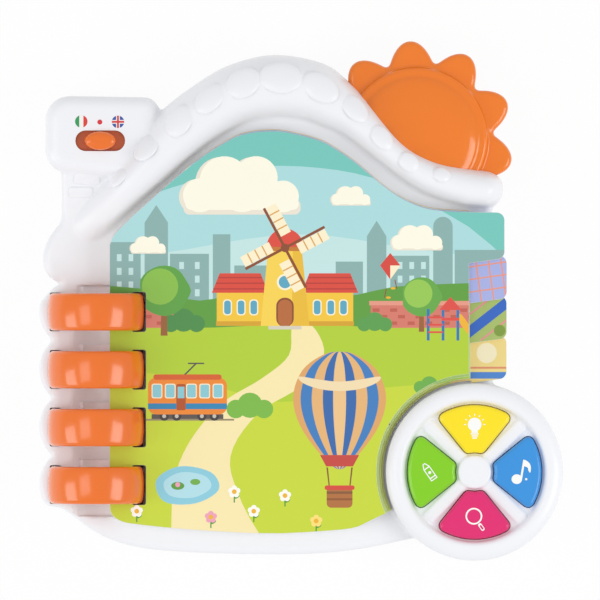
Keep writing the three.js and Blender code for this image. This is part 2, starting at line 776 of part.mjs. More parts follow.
// Slider on the chimney

const sliderTop = chimneyZ - wall - seatGap;
const sliderLow = sliderTop - sliderPlate;
const switchBoardZ = switchBoardTop - boardThickness;
const switchTop = sliderLow - 2.6;

function languageSlider() {
  const plateLength = slotLength + 2 * sliderTravel + 2;
  const stem = roundedRectangle(slotX, slotY, knobLength - 2.4, knobWidth - 1.4, 3.8, 4);
  const cap = circle(0, 0, 1, 28).map((p) => new THREE.Vector2(
    slotX + (p.x * knobLength) / 2,
    slotY + (p.y * knobWidth) / 2,
  ));
  const fork = [-1, 1].map((side) => box(slotX + side * 3.1, slotY, sliderLow - 1, 1.4, 5, 2.4));
  return join([
    slab(roundedRectangle(slotX, slotY, plateLength, slotWidth + 4, 2, 2), sliderLow, sliderTop),
    slab(stem, sliderTop - 0.5, chimneyZ + 1),
    slab(cap, chimneyZ + seatGap, chimneyZ + knobRise, 1.4),
    ...fork,
  ]);
}

function slideSwitch() {
  return box(slotX, slotY, (switchBoardTop + seatGap + switchTop) / 2, 21, 8, switchTop - switchBoardTop - seatGap)
    .subtract(box(slotX, slotY, switchTop, 4 + 2 * sliderTravel + 1, 3.6, 2.4));
}

// Inner pieces

function battery(y) {
  const shape = [
    [0, 0], [6.8, 0], [cellDiameter / 2, 0.5], [cellDiameter / 2, cellLength - 0.5], [6.8, cellLength],
    [2.7, cellLength], [2.7, cellLength + cellNub], [0, cellLength + cellNub],
  ];
  const z = doorThickness + 2 * seatGap + cellDiameter / 2;
  const solid = toSolid(new THREE.LatheGeometry(vectors(shape), 24).rotateZ(-Math.PI / 2));
  const low = -(cellLength + cellNub) / 2;
  const flip = y > bayY ? 180 : 0;
  return solid.translate([low, 0, 0]).rotate([0, 0, flip]).translate([bayX, y, z]);
}

const cellOffset = cellDiameter / 2 + seatGap;
const contactThickness = 0.6;

function contact(side, places) {
  const z = doorThickness + 2 * seatGap + cellDiameter / 2;
  const wallX = bayX + side * (bayLength / 2 - seatGap - contactThickness / 2);
  const reach = bayLength / 2 - seatGap - (cellLength + cellNub) / 2 - seatGap;
  const from = bayX + side * (bayLength / 2 - seatGap);
  const span = places.length > 1 ? 2 * cellOffset + 8 : 9;
  const middle = places.reduce((sum, y) => sum + y, 0) / places.length;
  const plate = box(wallX, middle, z, contactThickness, span, 10);
  const bumps = places.map((y) => toSolid(
    new THREE.CylinderGeometry(1.6, 3.2, reach, 12).rotateZ((side * Math.PI) / 2)
      .translate(from - (side * reach) / 2, y, z),
  ));
  return join([plate, ...bumps]);
}

function speaker() {
  const low = wall + seatGap;
  return turned(speakerX, speakerY, [
    [0, low + 4], [8, low + 4.4], [speakerRadius - 4, low + 1], [speakerRadius - 3, low], [speakerRadius, low],
    [speakerRadius, low + 3], [speakerRadius - 3, low + 3.4], [14, low + 7], [14, low + speakerDepth],
    [0, low + speakerDepth],
  ], 28);
}

function screw(x, y, seat, length) {
  return turned(x, y, [
    [0, seat - screwHeadDepth], [screwHead, seat - screwHeadDepth], [screwHead, seat - seatGap],
    [screwShank, seat - seatGap], [screwShank, seat + length], [0, seat + length + 1],
  ], 10);
}

function lead(points) {
  const path = new THREE.CatmullRomCurve3(points.map((p) => new THREE.Vector3(...p)));
  const shape = new THREE.Shape(circle(0, 0, leadRadius, 8));
  return toSolid(new THREE.ExtrudeGeometry(shape, { extrudePath: path, steps: 16, bevelEnabled: false }));
}

// Assembly

place('front_shell', frontShell(), 'white');
place('rear_shell', rearShell(), 'white');
place('control_bezel', controlBezel(), 'white');
place('sun_lens', sunLens(), 'orange');

const sunBoardZ = sunSeatZ + seatGap;
place('sun_led_board', post(sunX, sunY, sunBoardZ, sunBoardZ + boardThickness, 13, 28).intersect(sunSide), 'board');
place('sun_led', turned(sunX + 3, sunY + 3, [
  [0, sunBoardZ + boardThickness + seatGap], [3, sunBoardZ + boardThickness + seatGap],
  [3, sunBoardZ + 4], [2.1, sunBoardZ + 6], [0, sunBoardZ + 6.8],
], 16), 'silicone');

ringCentres.forEach((y, i) => place(`ring_${i + 1}`, ring(y), 'orange'));
for (let k = 1; k <= leafCount; k += 1) {
  place(`leaf_${k}`, leaf(k), 'print');
}

const domeLow = buttonBoardTop + seatGap;
buttonNames.forEach(([name, look, turn]) => {
  const angle = THREE.MathUtils.degToRad(turn);
  const x = podX + buttonCentre * Math.cos(angle);
  const y = podY + buttonCentre * Math.sin(angle);
  place(name, button(turn), look);
  place(name.replace('button', 'dome'), turned(x, y, [
    [0, domeLow], [5, domeLow], [5, domeLow + 0.5], [3.4, plungerTipZ - seatGap], [0, plungerTipZ - seatGap],
  ], 16), 'silicone');
});
const boardHoles = boardScrews.map(([x, y]) => circle(x, y, bossBore, 12).reverse());
place('button_board', slab(circle(podX, podY, 34, 40), buttonBoardTop - boardThickness, buttonBoardTop, 0, boardHoles),
  'board');
boardScrews.forEach(([x, y], i) => {
  place(`button_board_screw_${i + 1}`, screw(x, y, buttonBoardTop - boardThickness, 5.5), 'steel');
});

place('language_slider', languageSlider(), 'orange');
place('slide_switch', slideSwitch(), 'black');
place('switch_lever', box(slotX, slotY, switchTop + 0.6, 4, 3, 2.6), 'black');
place('switch_board', box(slotX, slotY, switchBoardZ + boardThickness / 2, 24, slotWidth + 16, boardThickness), 'board');

place('battery_door', box(bayX, bayY, doorThickness / 2, doorLength, doorWidth, doorThickness)
  .subtract(post(bayX, bayY + bayWidth / 2 + 1.3, -1, 5, 1.1, 12)), 'white');
place('battery_door_screw', turned(bayX, bayY + bayWidth / 2 + 1.3, [
  [0, 0.4], [0.9, 0.4], [0.9, 8], [0, 8.6],
], 12), 'steel');
place('battery_1', battery(bayY - cellOffset), 'black');
place('battery_2', battery(bayY + cellOffset), 'black');
place('contact_plus', contact(1, [bayY - cellOffset]), 'steel');
place('contact_minus', contact(1, [bayY + cellOffset]), 'steel');
place('contact_bridge', contact(-1, [bayY - cellOffset, bayY + cellOffset]), 'steel');

place('speaker', speaker(), 'black');
place('main_board', slab(roundedRectangle(mainBoardX, mainBoardY, ...mainBoardSize, 2, 2), mainBoardZ,
  mainBoardZ + boardThickness), 'board');

// Leads end just above the main board, beside the piece that they serve
const leadZ = mainBoardZ + boardThickness + leadRadius + seatGap;
const leadSeat = leadRadius + seatGap;
place('speaker_lead', lead([
  [speakerX + 14 + leadSeat, speakerY, 12], [30, -40, 12], [34, -18, leadZ], [36, -6, leadZ],
]), 'black');
place('battery_lead', lead([
  [bayX + bayLength / 2 + bayWall + leadSeat, bayY - cellOffset, 12], [12, 14, 12], [24, 12, leadZ], [32, 12, leadZ],
]), 'black');
place('button_lead', lead([
  [78, -76, buttonBoardTop - boardThickness - leadSeat], [70, -55, 17.6], [64, -35, 13], [60, -8, leadZ],
]), 'black');
place('sun_lead', lead([
  [62, 86, sunSeatZ + seatGap - leadSeat], [60, 76, 8], [52, 58, 9], [48, 42, leadZ], [46, 26, leadZ],
]), 'black');
place('slider_lead', lead([
  [-100, 74, switchBoardZ - leadSeat], [-92, 70, 14], [-84, 62, 12], [-66, 52, 12], [-30, 49, 12],
  [4, 46, 12], [24, 28, leadZ], [32, 22, leadZ],
]), 'black');

screwPlaces.forEach(([x, y], i) => {
  place(`housing_screw_${i + 1}`, screw(x, y, screwSeatZ, splitZ + 3), 'steel');
});

export default object;
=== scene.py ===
"""Baby book: the looks of a moulded book with rings, a sun and a play pod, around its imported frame."""

import json
import logging
import math
from dataclasses import dataclass, field
from enum import Enum

import bmesh
import bpy
from mathutils import Matrix, Vector
from mathutils.geometry import delaunay_2d_cdt


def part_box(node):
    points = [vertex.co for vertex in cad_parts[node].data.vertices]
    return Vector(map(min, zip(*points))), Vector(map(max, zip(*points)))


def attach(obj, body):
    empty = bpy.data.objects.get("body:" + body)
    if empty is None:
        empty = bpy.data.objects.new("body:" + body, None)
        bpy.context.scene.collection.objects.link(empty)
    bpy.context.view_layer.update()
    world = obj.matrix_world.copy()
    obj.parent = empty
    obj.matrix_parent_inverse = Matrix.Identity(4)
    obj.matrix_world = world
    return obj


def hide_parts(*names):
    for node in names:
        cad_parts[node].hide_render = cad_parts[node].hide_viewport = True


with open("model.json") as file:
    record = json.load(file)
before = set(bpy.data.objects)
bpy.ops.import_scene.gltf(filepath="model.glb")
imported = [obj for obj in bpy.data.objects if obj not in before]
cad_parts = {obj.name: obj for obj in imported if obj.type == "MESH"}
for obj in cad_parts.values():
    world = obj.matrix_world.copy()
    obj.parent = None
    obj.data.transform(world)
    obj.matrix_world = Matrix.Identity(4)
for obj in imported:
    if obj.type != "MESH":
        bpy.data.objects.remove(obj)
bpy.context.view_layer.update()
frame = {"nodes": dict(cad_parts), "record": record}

MM = 0.001
HOUSING = "housing"
log = logging.getLogger("baby_book")

Point = tuple[float, float]
Outline = list[Point]


# Outlines

def catmull(points: list[Point], divisions: int) -> Outline:
    """Smooth curve through the points.

    Args:
        points: Points that the curve passes, in millimetres.
        divisions: How many steps the curve has.

    Returns:
        The points along the curve, its ends included.
    """
    out = []
    last = len(points) - 1
    for step in range(divisions + 1):
        at = last * step / divisions
        i = min(int(at), last - 1)
        t = at - i
        near = [points[max(i - 1, 0)], points[i], points[i + 1], points[min(i + 2, last)]]
        out.append(tuple(_catmull_value([p[axis] for p in near], t) for axis in (0, 1)))
    return out


def _catmull_value(p: list[float], t: float) -> float:
    """One coordinate of a smooth curve between the second and the third of four values.

    Args:
        p: Four neighbouring values.
        t: Share of the way from the second to the third.

    Returns:
        The value.
    """
    v0 = (p[2] - p[0]) / 2
    v1 = (p[3] - p[1]) / 2
    return (2 * p[1] - 2 * p[2] + v0 + v1) * t ** 3 + (3 * p[2] - 3 * p[1] - 2 * v0 - v1) * t ** 2 + v0 * t + p[1]


def arc(x: float, y: float, radius: float, start: float, end: float, segments: int) -> Outline:
    """Points of an arc, with its angles in degrees."""
    angles = [math.radians(start + (end - start) * i / segments) for i in range(segments + 1)]
    return [(x + radius * math.cos(a), y + radius * math.sin(a)) for a in angles]


def disc(x: float, y: float, radius: float, segments: int = 24, squash: float = 1.0) -> Outline:
    """Points of a circle or, with a squash, of an upright or lying oval."""
    return [(px, y + (py - y) * squash) for px, py in arc(x, y, radius, 0, 360, segments)[:-1]]


def rectangle(x: float, y: float, width: float, height: float) -> Outline:
    """Corners of a rectangle whose middle is at x, y."""
    w, h = width / 2, height / 2
    return [(x - w, y - h), (x + w, y - h), (x + w, y + h), (x - w, y + h)]


def pill(x: float, y: float, width: float, height: float, radius: float, segments: int = 6) -> Outline:
    """Rectangle with round corners.

    Args:
        x: Middle across the page.
        y: Middle up the page.
        width: Size across the page.
        height: Size up the page.
        radius: Radius of the corners.
        segments: Steps of a rounding.

    Returns:
        The outline's points.
    """
    w, h = width / 2 - radius, height / 2 - radius
    corners = [(w, h, 0), (-w, h, 90), (-w, -h, 180), (w, -h, 270)]
    return [p for cx, cy, a in corners for p in arc(x + cx, y + cy, radius, a, a + 90, segments)]


def blob(points: list[Point], divisions: int = 4) -> Outline:
    """Closed smooth outline through the points.

    Args:
        points: Points on the curve.
        divisions: Steps between two points.

    Returns:
        The outline's points.
    """
    ring = [points[-1], *points, points[0], points[1]]
    curve = catmull(ring, divisions * (len(ring) - 1))
    return curve[divisions:divisions * (len(points) + 1)]


def turned(outline: Outline, degrees: float, x: float = 0.0, y: float = 0.0) -> Outline:
    """The outline turned about a point."""
    c, s = math.cos(math.radians(degrees)), math.sin(math.radians(degrees))
    return [(x + (px - x) * c - (py - y) * s, y + (px - x) * s + (py - y) * c) for px, py in outline]


def grown(outline: Outline, distance: float) -> Outline:
    """The counter-clockwise outline moved outwards, or inwards for a negative distance.

    Args:
        outline: Closed plan outline.
        distance: How far outwards; inwards where it is negative.

    Returns:
        The outline's points.
    """
    out = []
    count = len(outline)
    for i, point in enumerate(outline):
        here = Vector(point)
        before = (here - Vector(outline[i - 1])).normalized()
        after = (Vector(outline[(i + 1) % count]) - here).normalized()
        mitre = Vector((before.y + after.y, -before.x - after.x)).normalized()
        stretch = 1 / max(0.5, mitre.x * before.y - mitre.y * before.x)
        out.append(tuple(here + mitre * distance * stretch))
    return out


def bent(start: Vector, corner: Vector, end: Vector, segments: int) -> Outline:
    """Curve from one point to another that rounds the corner between them."""
    shares = [i / segments for i in range(segments + 1)]
    return [tuple(start * (1 - t) ** 2 + corner * 2 * t * (1 - t) + end * t ** 2) for t in shares]


# Finishes

def linear(code: str) -> tuple[float, float, float, float]:
    """Linear colour of a six-digit hex code."""
    values = [int(code[i:i + 2], 16) / 255 for i in (0, 2, 4)]
    return (*[v / 12.92 if v <= 0.04045 else ((v + 0.055) / 1.055) ** 2.4 for v in values], 1.0)


@dataclass(frozen=True)
class Plastic:
    """Moulded plastic with faint flow marks in its colour and a fine skin on its gloss."""

    name: str
    code: str
    roughness: float = 0.28
    coat: float = 0.25
    grain: float = 0.02
    grain_scale: float = 900.0
    tint: float = 0.04
    glow: float = 0.0
    metal: float = 0.0
    colour_attribute: str = ""

    def material(self) -> bpy.types.Material:
        """Builds the material once and returns it.

        Returns:
            The material.
        """
        if self.name in bpy.data.materials:
            return bpy.data.materials[self.name]
        material = bpy.data.materials.new(self.name)
        material.use_nodes = True
        nodes, links = material.node_tree.nodes, material.node_tree.links
        shader = nodes["Principled BSDF"]
        place = nodes.new("ShaderNodeTexCoord")
        self._colour(nodes, links, shader, place)
        fine = nodes.new("ShaderNodeTexNoise")
        fine.inputs["Scale"].default_value = self.grain_scale
        fine.inputs["Detail"].default_value = 3.0
        links.new(place.outputs["Object"], fine.inputs["Vector"])
        gloss = nodes.new("ShaderNodeMapRange")
        gloss.inputs["To Min"].default_value = self.roughness * 0.85
        gloss.inputs["To Max"].default_value = self.roughness * 1.15
        links.new(fine.outputs["Fac"], gloss.inputs["Value"])
        links.new(gloss.outputs["Result"], shader.inputs["Roughness"])
        bump = nodes.new("ShaderNodeBump")
        bump.inputs["Strength"].default_value = self.grain
        bump.inputs["Distance"].default_value = 0.0002
        links.new(fine.outputs["Fac"], bump.inputs["Height"])
        links.new(bump.outputs["Normal"], shader.inputs["Normal"])
        shader.inputs["Metallic"].default_value = self.metal
        shader.inputs["Coat Weight"].default_value = self.coat
        shader.inputs["Coat Roughness"].default_value = 0.12
        shader.inputs["Subsurface Weight"].default_value = self.glow
        shader.inputs["Subsurface Radius"].default_value = (0.004, 0.002, 0.001)
        shader.inputs["Subsurface Scale"].default_value = 1.0
        return material

    def _colour(self, nodes: bpy.types.Nodes, links: bpy.types.NodeLinks, shader: bpy.types.ShaderNode,
                place: bpy.types.ShaderNode) -> None:
        """Adds the colour with its broad, faint variation.

        Args:
            nodes: The material's nodes.
            links: Their links.
            shader: The surface shader.
            place: The texture coordinates.
        """
        broad = nodes.new("ShaderNodeTexNoise")
        broad.inputs["Scale"].default_value = 28.0
        broad.inputs["Detail"].default_value = 2.0
        links.new(place.outputs["Object"], broad.inputs["Vector"])
        mix = nodes.new("ShaderNodeMix")
        mix.data_type = "RGBA"
        mix.blend_type = "MULTIPLY"
        shade = nodes.new("ShaderNodeMapRange")
        shade.inputs["To Min"].default_value = 0.0
        shade.inputs["To Max"].default_value = self.tint * 2
        links.new(broad.outputs["Fac"], shade.inputs["Value"])
        links.new(shade.outputs["Result"], mix.inputs[0])
        base = linear(self.code)
        mix.inputs[7].default_value = (*[c * 0.75 for c in base[:3]], 1.0) if not self.colour_attribute else (
            0.75, 0.75, 0.75, 1.0)
        if self.colour_attribute:
            source = nodes.new("ShaderNodeAttribute")
            source.attribute_name = self.colour_attribute
            links.new(source.outputs["Color"], mix.inputs[6])
        else:
            mix.blend_type = "MIX"
            mix.inputs[6].default_value = base
        links.new(mix.outputs[2], shader.inputs["Base Color"])


PRINT_LAYER = "Print"
WHITE = Plastic("white_abs_skin", "F3F4F8", roughness=0.36, coat=0.12, tint=0.012)
ORANGE = Plastic("orange_gloss", "F07000", roughness=0.22, coat=0.6, tint=0.03, glow=0.03)
# Darker orange: painted shade of the slider's recess, laid on the plate, which is the same orange plastic as the
# knob.
ORANGE_PAINTED_SHADE = Plastic("orange_in_shade", "C9643A", roughness=0.5, coat=0.0, tint=0.04)
LENS = Plastic("orange_lens", "F47C00", roughness=0.16, coat=0.5, tint=0.03, glow=0.06)
YELLOW = Plastic("yellow_gloss", "FFE500", roughness=0.24, coat=0.25, tint=0.03)
BLUE = Plastic("blue_gloss", "2F93E0", roughness=0.24, coat=0.25, tint=0.05)
MAGENTA = Plastic("magenta_gloss", "E51C70", roughness=0.24, coat=0.25, tint=0.06)
GREEN = Plastic("green_gloss", "84D200", roughness=0.24, coat=0.25, tint=0.06)
ICON = Plastic("white_pad_print", "FBFBF8", roughness=0.35, coat=0.1, tint=0.01)
LEAF_EDGE = Plastic("leaf_board", "EFEDE6", roughness=0.45, coat=0.05, tint=0.03)
PRINT = Plastic("laminated_print", "FFFFFF", roughness=0.36, coat=0.12, grain=0.015, tint=0.03,
                colour_attribute=PRINT_LAYER)
CIRCUIT = Plastic("circuit_laminate", "1E6B3C", roughness=0.4, coat=0.3, tint=0.12)
BLACK = Plastic("black_moulding", "232427", roughness=0.5, coat=0.0, tint=0.1)
CELL = Plastic("cell_sleeve", "2C3138", roughness=0.3, coat=0.3, tint=0.1)
SILICONE = Plastic("silicone_key", "DADAD5", roughness=0.55, coat=0.0, glow=0.1)
STEEL = Plastic("turned_steel", "B9BCC0", roughness=0.3, coat=0.0, grain=0.05, metal=1.0, tint=0.1)

SLOT_FINISH = {
    "white_abs": WHITE, "orange_plastic": ORANGE, "yellow_plastic": YELLOW, "blue_plastic": BLUE,
    "magenta_plastic": MAGENTA, "green_plastic": GREEN, "printed_board": LEAF_EDGE, "circuit_board": CIRCUIT,
    "steel": STEEL, "black_plastic": BLACK, "cell_sleeve": CELL, "silicone": SILICONE,
}


# Mesh tools, all in millimetres until a piece is made

def only_verts(made: list) -> list[bmesh.types.BMVert]:
    """Vertices among what an operator has made."""
    return [item for item in made if isinstance(item, bmesh.types.BMVert)]


def prism(outline: Outline, low: float, high: float, round_top: float = 0.0, round_low: float = 0.0,
          segments: int = 4) -> bmesh.types.BMesh:
    """Upright solid over an outline, with rounded edges where asked.

    Args:
        outline: Counter-clockwise points.
        low: Height of the lower face.
        high: Height of the upper face.
        round_top: Radius of the upper edge.
        round_low: Radius of the lower edge.
        segments: Steps of each rounded edge.

    Returns:
        A closed bmesh.
    """
    bm = bmesh.new()
    base = bm.faces.new([bm.verts.new((x, y, low)) for x, y in outline])
    base.normal_flip()
    moved = bmesh.ops.extrude_face_region(bm, geom=[base])["geom"]
    bmesh.ops.translate(bm, verts=only_verts(moved), vec=(0, 0, high - low))
    bmesh.ops.recalc_face_normals(bm, faces=bm.faces[:])
    for height, radius in ((high, round_top), (low, round_low)):
        if radius > 0:
            edges = [e for e in bm.edges if all(abs(v.co.z - height) < 1e-4 for v in e.verts)]
            bmesh.ops.bevel(bm, geom=edges, offset=radius, segments=segments, profile=0.5, affect="EDGES",
                            material=-1, clamp_overlap=False, offset_type="OFFSET")
    return bm


def lathe(x: float, y: float, rows: list[Point], steps: int = 96) -> bmesh.types.BMesh:
    """Turned solid about an upright axis through x, y.

    Args:
        x: Place of the axis.
        y: Place of the axis.
        rows: Radius and height of each point, from the axis back to the axis.
        steps: Segments round the axis.

    Returns:
        A closed bmesh.
    """
    bm = bmesh.new()
    verts = [bm.verts.new((x + radius, y, height)) for radius, height in rows]
    edges = [bm.edges.new(pair) for pair in zip(verts, verts[1:])]
    bmesh.ops.spin(bm, geom=[*verts, *edges], cent=(x, y, 0), axis=(0, 0, 1), angle=2 * math.pi, steps=steps,
                   use_merge=True)
    bmesh.ops.remove_doubles(bm, verts=bm.verts[:], dist=1e-4)
    bmesh.ops.recalc_face_normals(bm, faces=bm.faces[:])
    return bm


def ball(x: float, y: float, z: float, radii: tuple[float, float, float], turn: float = 0.0,
         steps: int = 32) -> bmesh.types.BMesh:
    """Ellipsoid with its long axes turned in plan by an angle in radians.

    Args:
        x: Middle across the page.
        y: Middle up the page.
        z: Middle above the table.
        radii: Three half sizes.
        turn: Turn in degrees.
        steps: Steps of the whole turn.

    Returns:
        The closed mesh.
    """
    bm = bmesh.new()
    bmesh.ops.create_uvsphere(bm, u_segments=steps, v_segments=steps // 2, radius=1.0)
    shape = Matrix.Translation((x, y, z)) @ Matrix.Rotation(turn, 4, "Z") @ Matrix.Diagonal((*radii, 1.0))
    bmesh.ops.transform(bm, matrix=shape, verts=bm.verts[:])
    return bm


def merged(parts: list[bmesh.types.BMesh]) -> bmesh.types.BMesh:
    """All the parts in one bmesh; the parts are freed.

    Args:
        parts: Meshes, used up here.

    Returns:
        The closed mesh.
    """
    whole = bmesh.new()
    for part in parts:
        mesh = bpy.data.meshes.new("part")
        part.to_mesh(mesh)
        part.free()
        whole.from_mesh(mesh)
        bpy.data.meshes.remove(mesh)
    return whole


def to_object(bm: bmesh.types.BMesh, name: str) -> bpy.types.Object:
    """Object of a bmesh in millimetres, scaled to metres; the bmesh is freed.

    Args:
        bm: Mesh, used up here.
        name: Name of the piece.

    Returns:
        The piece.
    """
    bmesh.ops.scale(bm, vec=(MM, MM, MM), verts=bm.verts[:])
    mesh = bpy.data.meshes.new(name)
    bm.to_mesh(mesh)
    bm.free()
    piece = bpy.data.objects.new(name, mesh)
    bpy.context.scene.collection.objects.link(piece)
    return piece


def baked(piece: bpy.types.Object) -> bpy.types.Object:
    """Applies every modifier of the piece.

    Args:
        piece: Piece to work on.

    Returns:
        The piece.
    """
    graph = bpy.context.evaluated_depsgraph_get()
    graph.update()
    mesh = bpy.data.meshes.new_from_object(piece.evaluated_get(graph), depsgraph=graph)
    old = piece.data
    piece.modifiers.clear()
    piece.data = mesh
    bpy.data.meshes.remove(old)
    return piece


def fused(piece: bpy.types.Object, voxel: float, soften: int) -> bpy.types.Object:
    """Melts overlapping solids into one skin and softens its inner corners.

    Args:
        piece: The object that holds the solids.
        voxel: Grid size in millimetres.
        soften: Passes of smoothing.

    Returns:
        The same object with its new mesh.
    """
    remesh = piece.modifiers.new("melt", "REMESH")
    remesh.mode = "VOXEL"
    remesh.voxel_size = voxel * MM
    remesh.use_smooth_shade = True
    smooth = piece.modifiers.new("soften", "SMOOTH")
    smooth.factor = 0.5
    smooth.iterations = soften
    return baked(piece)


def cut(piece: bpy.types.Object, cutter: bmesh.types.BMesh, solver: str = "MANIFOLD") -> bpy.types.Object:
    """Takes a closed cutter away from the piece.

    Args:
        piece: Piece to work on.
        cutter: Mesh that is taken away, used up here.
        solver: Boolean solver.

    Returns:
        The piece.
    """
    tool = to_object(cutter, "cutter")
    boolean = piece.modifiers.new("cut", "BOOLEAN")
    boolean.operation = "DIFFERENCE"
    boolean.object = tool
    boolean.solver = solver
    baked(piece)
    bpy.data.objects.remove(tool)
    return piece


def joined(piece: bpy.types.Object, extra: bmesh.types.BMesh) -> bpy.types.Object:
    """Melts a closed solid onto the piece.

    Args:
        piece: Piece to work on.
        extra: Mesh that is added, used up here.

    Returns:
        The piece.
    """
    other = to_object(extra, "extra")
    boolean = piece.modifiers.new("join", "BOOLEAN")
    boolean.operation = "UNION"
    boolean.object = other
    boolean.solver = "MANIFOLD"
    baked(piece)
    bpy.data.objects.remove(other)
    return piece


def finish(piece: bpy.types.Object, look: Plastic, body: str, replaces: tuple[str, ...] = (),
           sharp_degrees: float = 35.0) -> bpy.types.Object:
    """Dresses a piece, shades it and hands it to its body.

    Args:
        piece: The finished mesh object.
        look: Its finish.
        body: The body that it rides on.
        replaces: Frame nodes that it stands for.
        sharp_degrees: Edges over this angle stay sharp.

    Returns:
        The same object.
    """
    piece.data.materials.clear()
    piece.data.materials.append(look.material())
    piece.data.shade_smooth()
    piece.data.set_sharp_from_angle(angle=math.radians(sharp_degrees))
    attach(piece, body)
    if replaces:
        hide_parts(*replaces)
    log.info("%s: %d faces", piece.name, len(piece.data.polygons))
    return piece


# Flat artwork: layers of outlines that become one skin of coloured faces

Layer = tuple[Outline, str]
HOLE = "hole"


def signed_area(outline: Outline) -> float:
    """Area inside the outline, positive when it runs counter-clockwise."""
    pairs = zip(outline, [*outline[1:], outline[0]])
    return sum(a[0] * b[1] - b[0] * a[1] for a, b in pairs) / 2


def flat_regions(layers: list[Layer]) -> list[tuple[list[Vector], str]]:
    """Splits overlapping outlines into triangles that each carry the top layer's colour.

    Args:
        layers: Outlines with their colour, from the lowest to the highest; the first one bounds the sheet.

    Returns:
        Triangles as three plan points, with a colour code.
    """
    verts, faces = [], []
    for outline, _ in layers:
        if signed_area(outline) < 0:
            outline = outline[::-1]
        start = len(verts)
        verts.extend(Vector(p) for p in outline)
        faces.append(list(range(start, len(verts))))
    points, _, triangles, _, _, owners = delaunay_2d_cdt(verts, [], faces, 1, 1e-4, True)
    regions = []
    for triangle, owner in zip(triangles, owners):
        if not owner or 0 not in owner:
            continue
        code = layers[max(owner)][1]
        if code != HOLE:
            regions.append(([points[i] for i in triangle], code))
    return regions


def sheet_mesh(layers: list[Layer], low: float, high: float, face_down: bool = False) -> bmesh.types.BMesh:
    """Thin film over the regions, with the colours on its faces.

    Args:
        layers: The artwork.
        low: Height of the lower face.
        high: Height of the upper face.
        face_down: Whether the artwork is read from below.

    Returns:
        A closed bmesh with a colour layer.
    """
    bm = bmesh.new()
    paint = bm.loops.layers.float_color.new(PRINT_LAYER)
    shared: dict[tuple[float, float], bmesh.types.BMVert] = {}
    level = low if face_down else high
    colours = {}
    for corners, code in flat_regions(layers):
        ring = []
        for p in corners:
            key = (round(p.x, 4), round(p.y, 4))
            if key not in shared:
                shared[key] = bm.verts.new((p.x, p.y, level))
            ring.append(shared[key])
        if len(set(ring)) < 3:
            continue
        colours.setdefault(code, linear(code))
        face = bm.faces.new(ring)
        for loop in face.loops:
            loop[paint] = colours[code]
    bmesh.ops.recalc_face_normals(bm, faces=bm.faces[:])
    wanted = -1.0 if face_down else 1.0
    if bm.faces and sum(f.normal.z for f in bm.faces) * wanted < 0:
        bmesh.ops.reverse_faces(bm, faces=bm.faces[:])
    copied = bmesh.ops.duplicate(bm, geom=bm.faces[:])["geom"]
    back = [f for f in copied if isinstance(f, bmesh.types.BMFace)]
    back_verts = only_verts(copied)
    bmesh.ops.translate(bm, verts=back_verts, vec=(0, 0, (high - low) * (1 if face_down else -1)))
    bmesh.ops.reverse_faces(bm, faces=back)
    rims = [e for e in bm.edges if e.is_boundary]
    _wall(bm, rims, level)
    return bm


def _wall(bm: bmesh.types.BMesh, rims: list[bmesh.types.BMEdge], level: float) -> None:
    """Joins the rims of a film's two faces.

    Args:
        bm: Mesh to work on.
        rims: Edges of its rim.
        level: Height of the printed face.
    """
    below = {}
    for edge in rims:
        for vert in edge.verts:
            if abs(vert.co.z - level) > 1e-3:
                below[(round(vert.co.x, 4), round(vert.co.y, 4))] = vert
    for edge in rims:
        a, b = edge.verts
        if abs(a.co.z - level) < 1e-3 and abs(b.co.z - level) < 1e-3:
            a2 = below.get((round(a.co.x, 4), round(a.co.y, 4)))
            b2 = below.get((round(b.co.x, 4), round(b.co.y, 4)))
            loop = edge.link_loops[0]
            if loop.vert is a:
                a, b, a2, b2 = b, a, b2, a2
            if a2 and b2:
                bm.faces.new((a, b, b2, a2))


# House: front and rear shells, modelled as one block and cut at the seam

class Face(Enum):
    """Side of a leaf."""

    FRONT = "front"
    BACK = "back"


